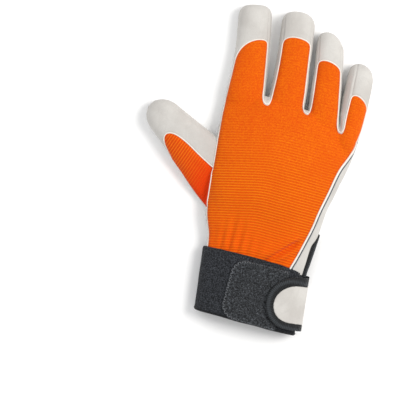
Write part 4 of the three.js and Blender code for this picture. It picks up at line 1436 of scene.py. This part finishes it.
def thread_run(path, normals, stitch, gap, radius, sink=0.35, zigzag=0.0):
    """Stitches along a path, as short rounded beads of thread."""
    path = evened(np.column_stack([path, normals]), 0.25, 0)
    run = np.concatenate([[0], np.cumsum(np.linalg.norm(np.diff(path[:, :3], axis=0), axis=1))])
    angles = np.linspace(0, 2 * math.pi, 6, endpoint=False)
    profile = np.column_stack([np.cos(angles), np.sin(angles)]) * radius
    parts = []
    start, side = gap / 2, 1
    while start + stitch < run[-1]:
        at = np.linspace(start, start + stitch, 5)
        spots = np.column_stack([np.interp(at, run, path[:, i]) for i in range(6)])
        centre, normal = spots[:, :3], spots[:, 3:]
        normal = normal / np.linalg.norm(normal, axis=1)[:, None]
        arch = np.array([-0.8, 0.25, 0.6, 0.25, -0.8])
        centre = centre + normal * (radius * (arch - sink))[:, None]
        if zigzag:
            ahead = centre[-1] - centre[0]
            aside = np.cross(ahead / np.linalg.norm(ahead), normal[0])
            centre = centre + aside * (np.linspace(-0.5, 0.5, 5) * side * zigzag)[:, None]
            side = -side
        parts.append(swept(centre, normal, profile, 0.45))
        start += stitch + gap
    return parts


# Stitches: length, gap, radius, how deep they sink, and how far a zigzag swings
SEAM_STITCH = (2.4, 0.7, 0.25, 0.0)
SEAM_STITCH_FLOOR = 0.3
ZIGZAG = (1.5, 0.5, 0.33, 0.0, 1.9)


def thumb_seam(skin, finish):
    """Stitches in the seam where the thumb is let into the palm."""
    parts = []
    for run in chains(skin.borders(["palm"], ["thumb"])):
        if len(run) < SHORTEST_RUN:
            continue
        path = evened(np.column_stack([skin.points[run], skin.normals[run]]), 0.8, 8)
        path[:, 2] = np.maximum(path[:, 2], SEAM_STITCH_FLOOR)
        parts += thread_run(path[:, :3], path[:, 3:], *SEAM_STITCH)
    return piece(new_object("thumb_seam", *gathered(parts), 60), finish, "tape")


def patch_stitches(finish):
    outline = patch_outline(1.1)
    path = np.vstack([outline[1:], outline[:1]])
    z = cuff_top(path[:, 0], path[:, 1], SEAM_GAP + 1.0)
    spots = np.column_stack([path, z])
    up = np.tile([0, 0, 1.0], (len(spots), 1))
    parts = thread_run(spots, up, *ZIGZAG)
    return piece(new_object("patch_zigzag", *gathered(parts), 60), finish, "tape")


# The strap: its round end's centre, its tape's radius, line, half width and crown, how far its right
# end is drawn out, how far it rises below and above, and where along x that begins and over how much
STRAP_CENTRE = (34.0, 24.6)
TAPE_RADIUS = 18.0
TAPE_LINE = 19.3
TAPE_HALF = 3.6
TAPE_CROWN = 1.5
STRAP_PULL = 1.2
STRAP_RISE = (1.0, 2.4)
PULL_START, PULL_RUN = 18, 20


def from_node(name, node, cell, rounds, finish, slot, shape):
    """A CAD solid's shape with its edges softened and its facets gone."""
    source = bpy.data.objects[node]
    obj = source.copy()
    obj.data = source.data.copy()
    obj.name = name
    obj.parent = None
    for key in list(obj.keys()):
        del obj[key]
    bpy.context.scene.collection.objects.link(obj)
    only(obj)
    bpy.ops.object.mode_set(mode="EDIT")
    bpy.ops.mesh.select_all(action="SELECT")
    bpy.ops.mesh.remove_doubles(threshold=1e-5)
    bpy.ops.object.mode_set(mode="OBJECT")
    remesh(obj, cell)
    points, faces = arrays(obj)
    bpy.data.objects.remove(obj)
    made = new_object(name, shape(relax(points, faces, rounds)), faces, 60)
    return piece(made, finish, slot, node)


def mark_tape(obj, along, crown):
    """Stores how far along its tape each point is, in metres, and how near it is to its crown, which the
    tape's finish uses for a painted highlight on the crown and painted shade at the edges.
    """
    for name, values in (("along", along * MM), ("crown", crown)):
        stored = obj.data.attributes.new(name, "FLOAT", "POINT")
        stored.data.foreach_set("value", values.astype(np.float32))


def from_crown(points):
    """How far each point is in plan from the middle of the strap's tape."""
    x, y = points[:, 0] - STRAP_CENTRE[0], points[:, 1] - STRAP_CENTRE[1]
    return np.abs(np.where(x < 0, np.hypot(x, y), np.abs(y)) - TAPE_LINE)


def pull_strap(points):
    """Draws the strap's right end out and up, as it comes round the cuff's side."""
    out = smooth_step((points[:, 0] - PULL_START) / PULL_RUN)
    level = np.clip((points[:, 1] - 9) / 32, 0, 1)
    pulled = points.copy()
    pulled[:, 0] += STRAP_PULL * out
    pulled[:, 1] += out * (STRAP_RISE[0] + (STRAP_RISE[1] - STRAP_RISE[0]) * level)
    return pulled


def round_tape(points):
    """Gives the strap's tape a rounded back."""
    crown = np.clip(1 - (from_crown(points) / TAPE_HALF) ** 2, 0, 1)
    raised = points.copy()
    raised[:, 2] += TAPE_CROWN * crown * smooth_step((points[:, 2] - 12) / 6)
    return pull_strap(raised)


def strap_run(points):
    """How far along the strap's binding a point is: round its end, then straight to the right."""
    x, y = points[:, 0] - STRAP_CENTRE[0], points[:, 1] - STRAP_CENTRE[1]
    angle = np.arctan2(y, -x)
    return np.where(x < 0, angle * TAPE_RADIUS, np.sign(y) * (math.pi / 2 * TAPE_RADIUS + x))


def studio():
    bpy.context.scene.view_settings.view_transform = "Standard"
    bpy.ops.object.select_all(action="DESELECT")
    bpy.ops.mesh.primitive_plane_add(size=6, location=(0, 0, 0))
    floor = bpy.context.object
    floor.name = "studio_floor"
    floor.data.materials.append(floor_finish())
    world = bpy.data.worlds.new("studio")
    bpy.context.scene.world = world
    world.use_nodes = True
    world.node_tree.nodes["Background"].inputs["Color"].default_value = (1, 1, 1, 1)
    world.node_tree.nodes["Background"].inputs["Strength"].default_value = 0.7
    lamp("key", (0.75, 0.38, 1.1), 0.7, 11.8, (1, 0.985, 0.96))
    lamp("fill", (-0.8, 0.4, 1.1), 1.2, 3.4, (0.95, 0.97, 1))


def lamp(name, place, size, power, tint):
    light = bpy.data.lights.new(name, "AREA")
    light.shape = "DISK"
    light.size, light.energy, light.color = size, power, tint
    obj = bpy.data.objects.new(name, light)
    bpy.context.scene.collection.objects.link(obj)
    obj.location = place
    obj.rotation_euler = (-Vector(place)).to_track_quat("-Z", "Y").to_euler()


VIEW_CENTRE = (-0.02746, -0.04247)
VIEW_WIDTH = 0.3312
VIEW_TURN = 15
CAMERA_HEIGHT = 1.6


def camera():
    data = bpy.data.cameras.new("camera")
    data.sensor_width = 36
    data.lens = 36 * (CAMERA_HEIGHT - 0.012) / VIEW_WIDTH
    obj = bpy.data.objects.new("camera", data)
    bpy.context.scene.collection.objects.link(obj)
    obj.location = (*VIEW_CENTRE, CAMERA_HEIGHT)
    obj.rotation_euler = (0, 0, math.radians(VIEW_TURN))
    bpy.context.scene.camera = obj


def main():
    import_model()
    camera()
    studio()
    orange, deep = (246, 134, 8), (210, 75, 0)
    finishes = {
        "sheepskin": sheepskin("sheepskin"),
        # A lighter copy of the sheepskin for the raised edge beads and the piping: painted highlight.
        "rim": sheepskin("sheepskin_edge_highlight", (240, 236, 228), (226, 221, 212)),
        # Colour of the dark tube in the welt's seam: painted shadow.
        "seam_painted_shadow": thread_finish("seam_painted_shadow", (80, 91, 103), (44, 52, 62)),
        # Back knit: painted shade, redder towards the cuff where the gathers are.
        "back_panel": ribbed_knit("orange_knit", 2.22, 0, -0.03, 0.05, orange, deep, 0.24,
                                  ((-0.035, -0.07), (242, 84, 0), 0.35)),
        # Thumb knit: painted shade, darker and redder at its root by the palm's edge.
        "thumb_back_panel": ribbed_knit("orange_knit_thumb", 2.2, math.radians(-70), 1, 2,
                                        (250, 128, 20), (212, 66, 2),
                                        deep=((0.05, 0.006), (222, 56, 2), 1.0)),
    }
    skin = dress_hand(finishes)
    grey = thread_finish("grey_thread", (120, 123, 128), (70, 72, 76))
    thumb_seam(skin, grey)
    piece(cuff_shell(), cuff_knit("charcoal_knit"), "cuff_knit", "cuff")
    pile_patch(pile_finish("loop_pile"))
    patch_stitches(grey)
    tape = tape_finish("woven_tape")
    from_node("strap_leather", "strap", 0.45, 5, finishes["sheepskin"], "sheepskin", pull_strap)
    strap = from_node("strap_tape", "strap_binding", 0.5, 6, tape, "tape", round_tape)
    points, _ = arrays(strap)
    # How near the crown each point is, for the tape's painted highlight and painted shade.
    mark_tape(strap, strap_run(points), np.clip(1 - from_crown(points) / 3.4, 0, 1))
    slit_tape(tape)


main()
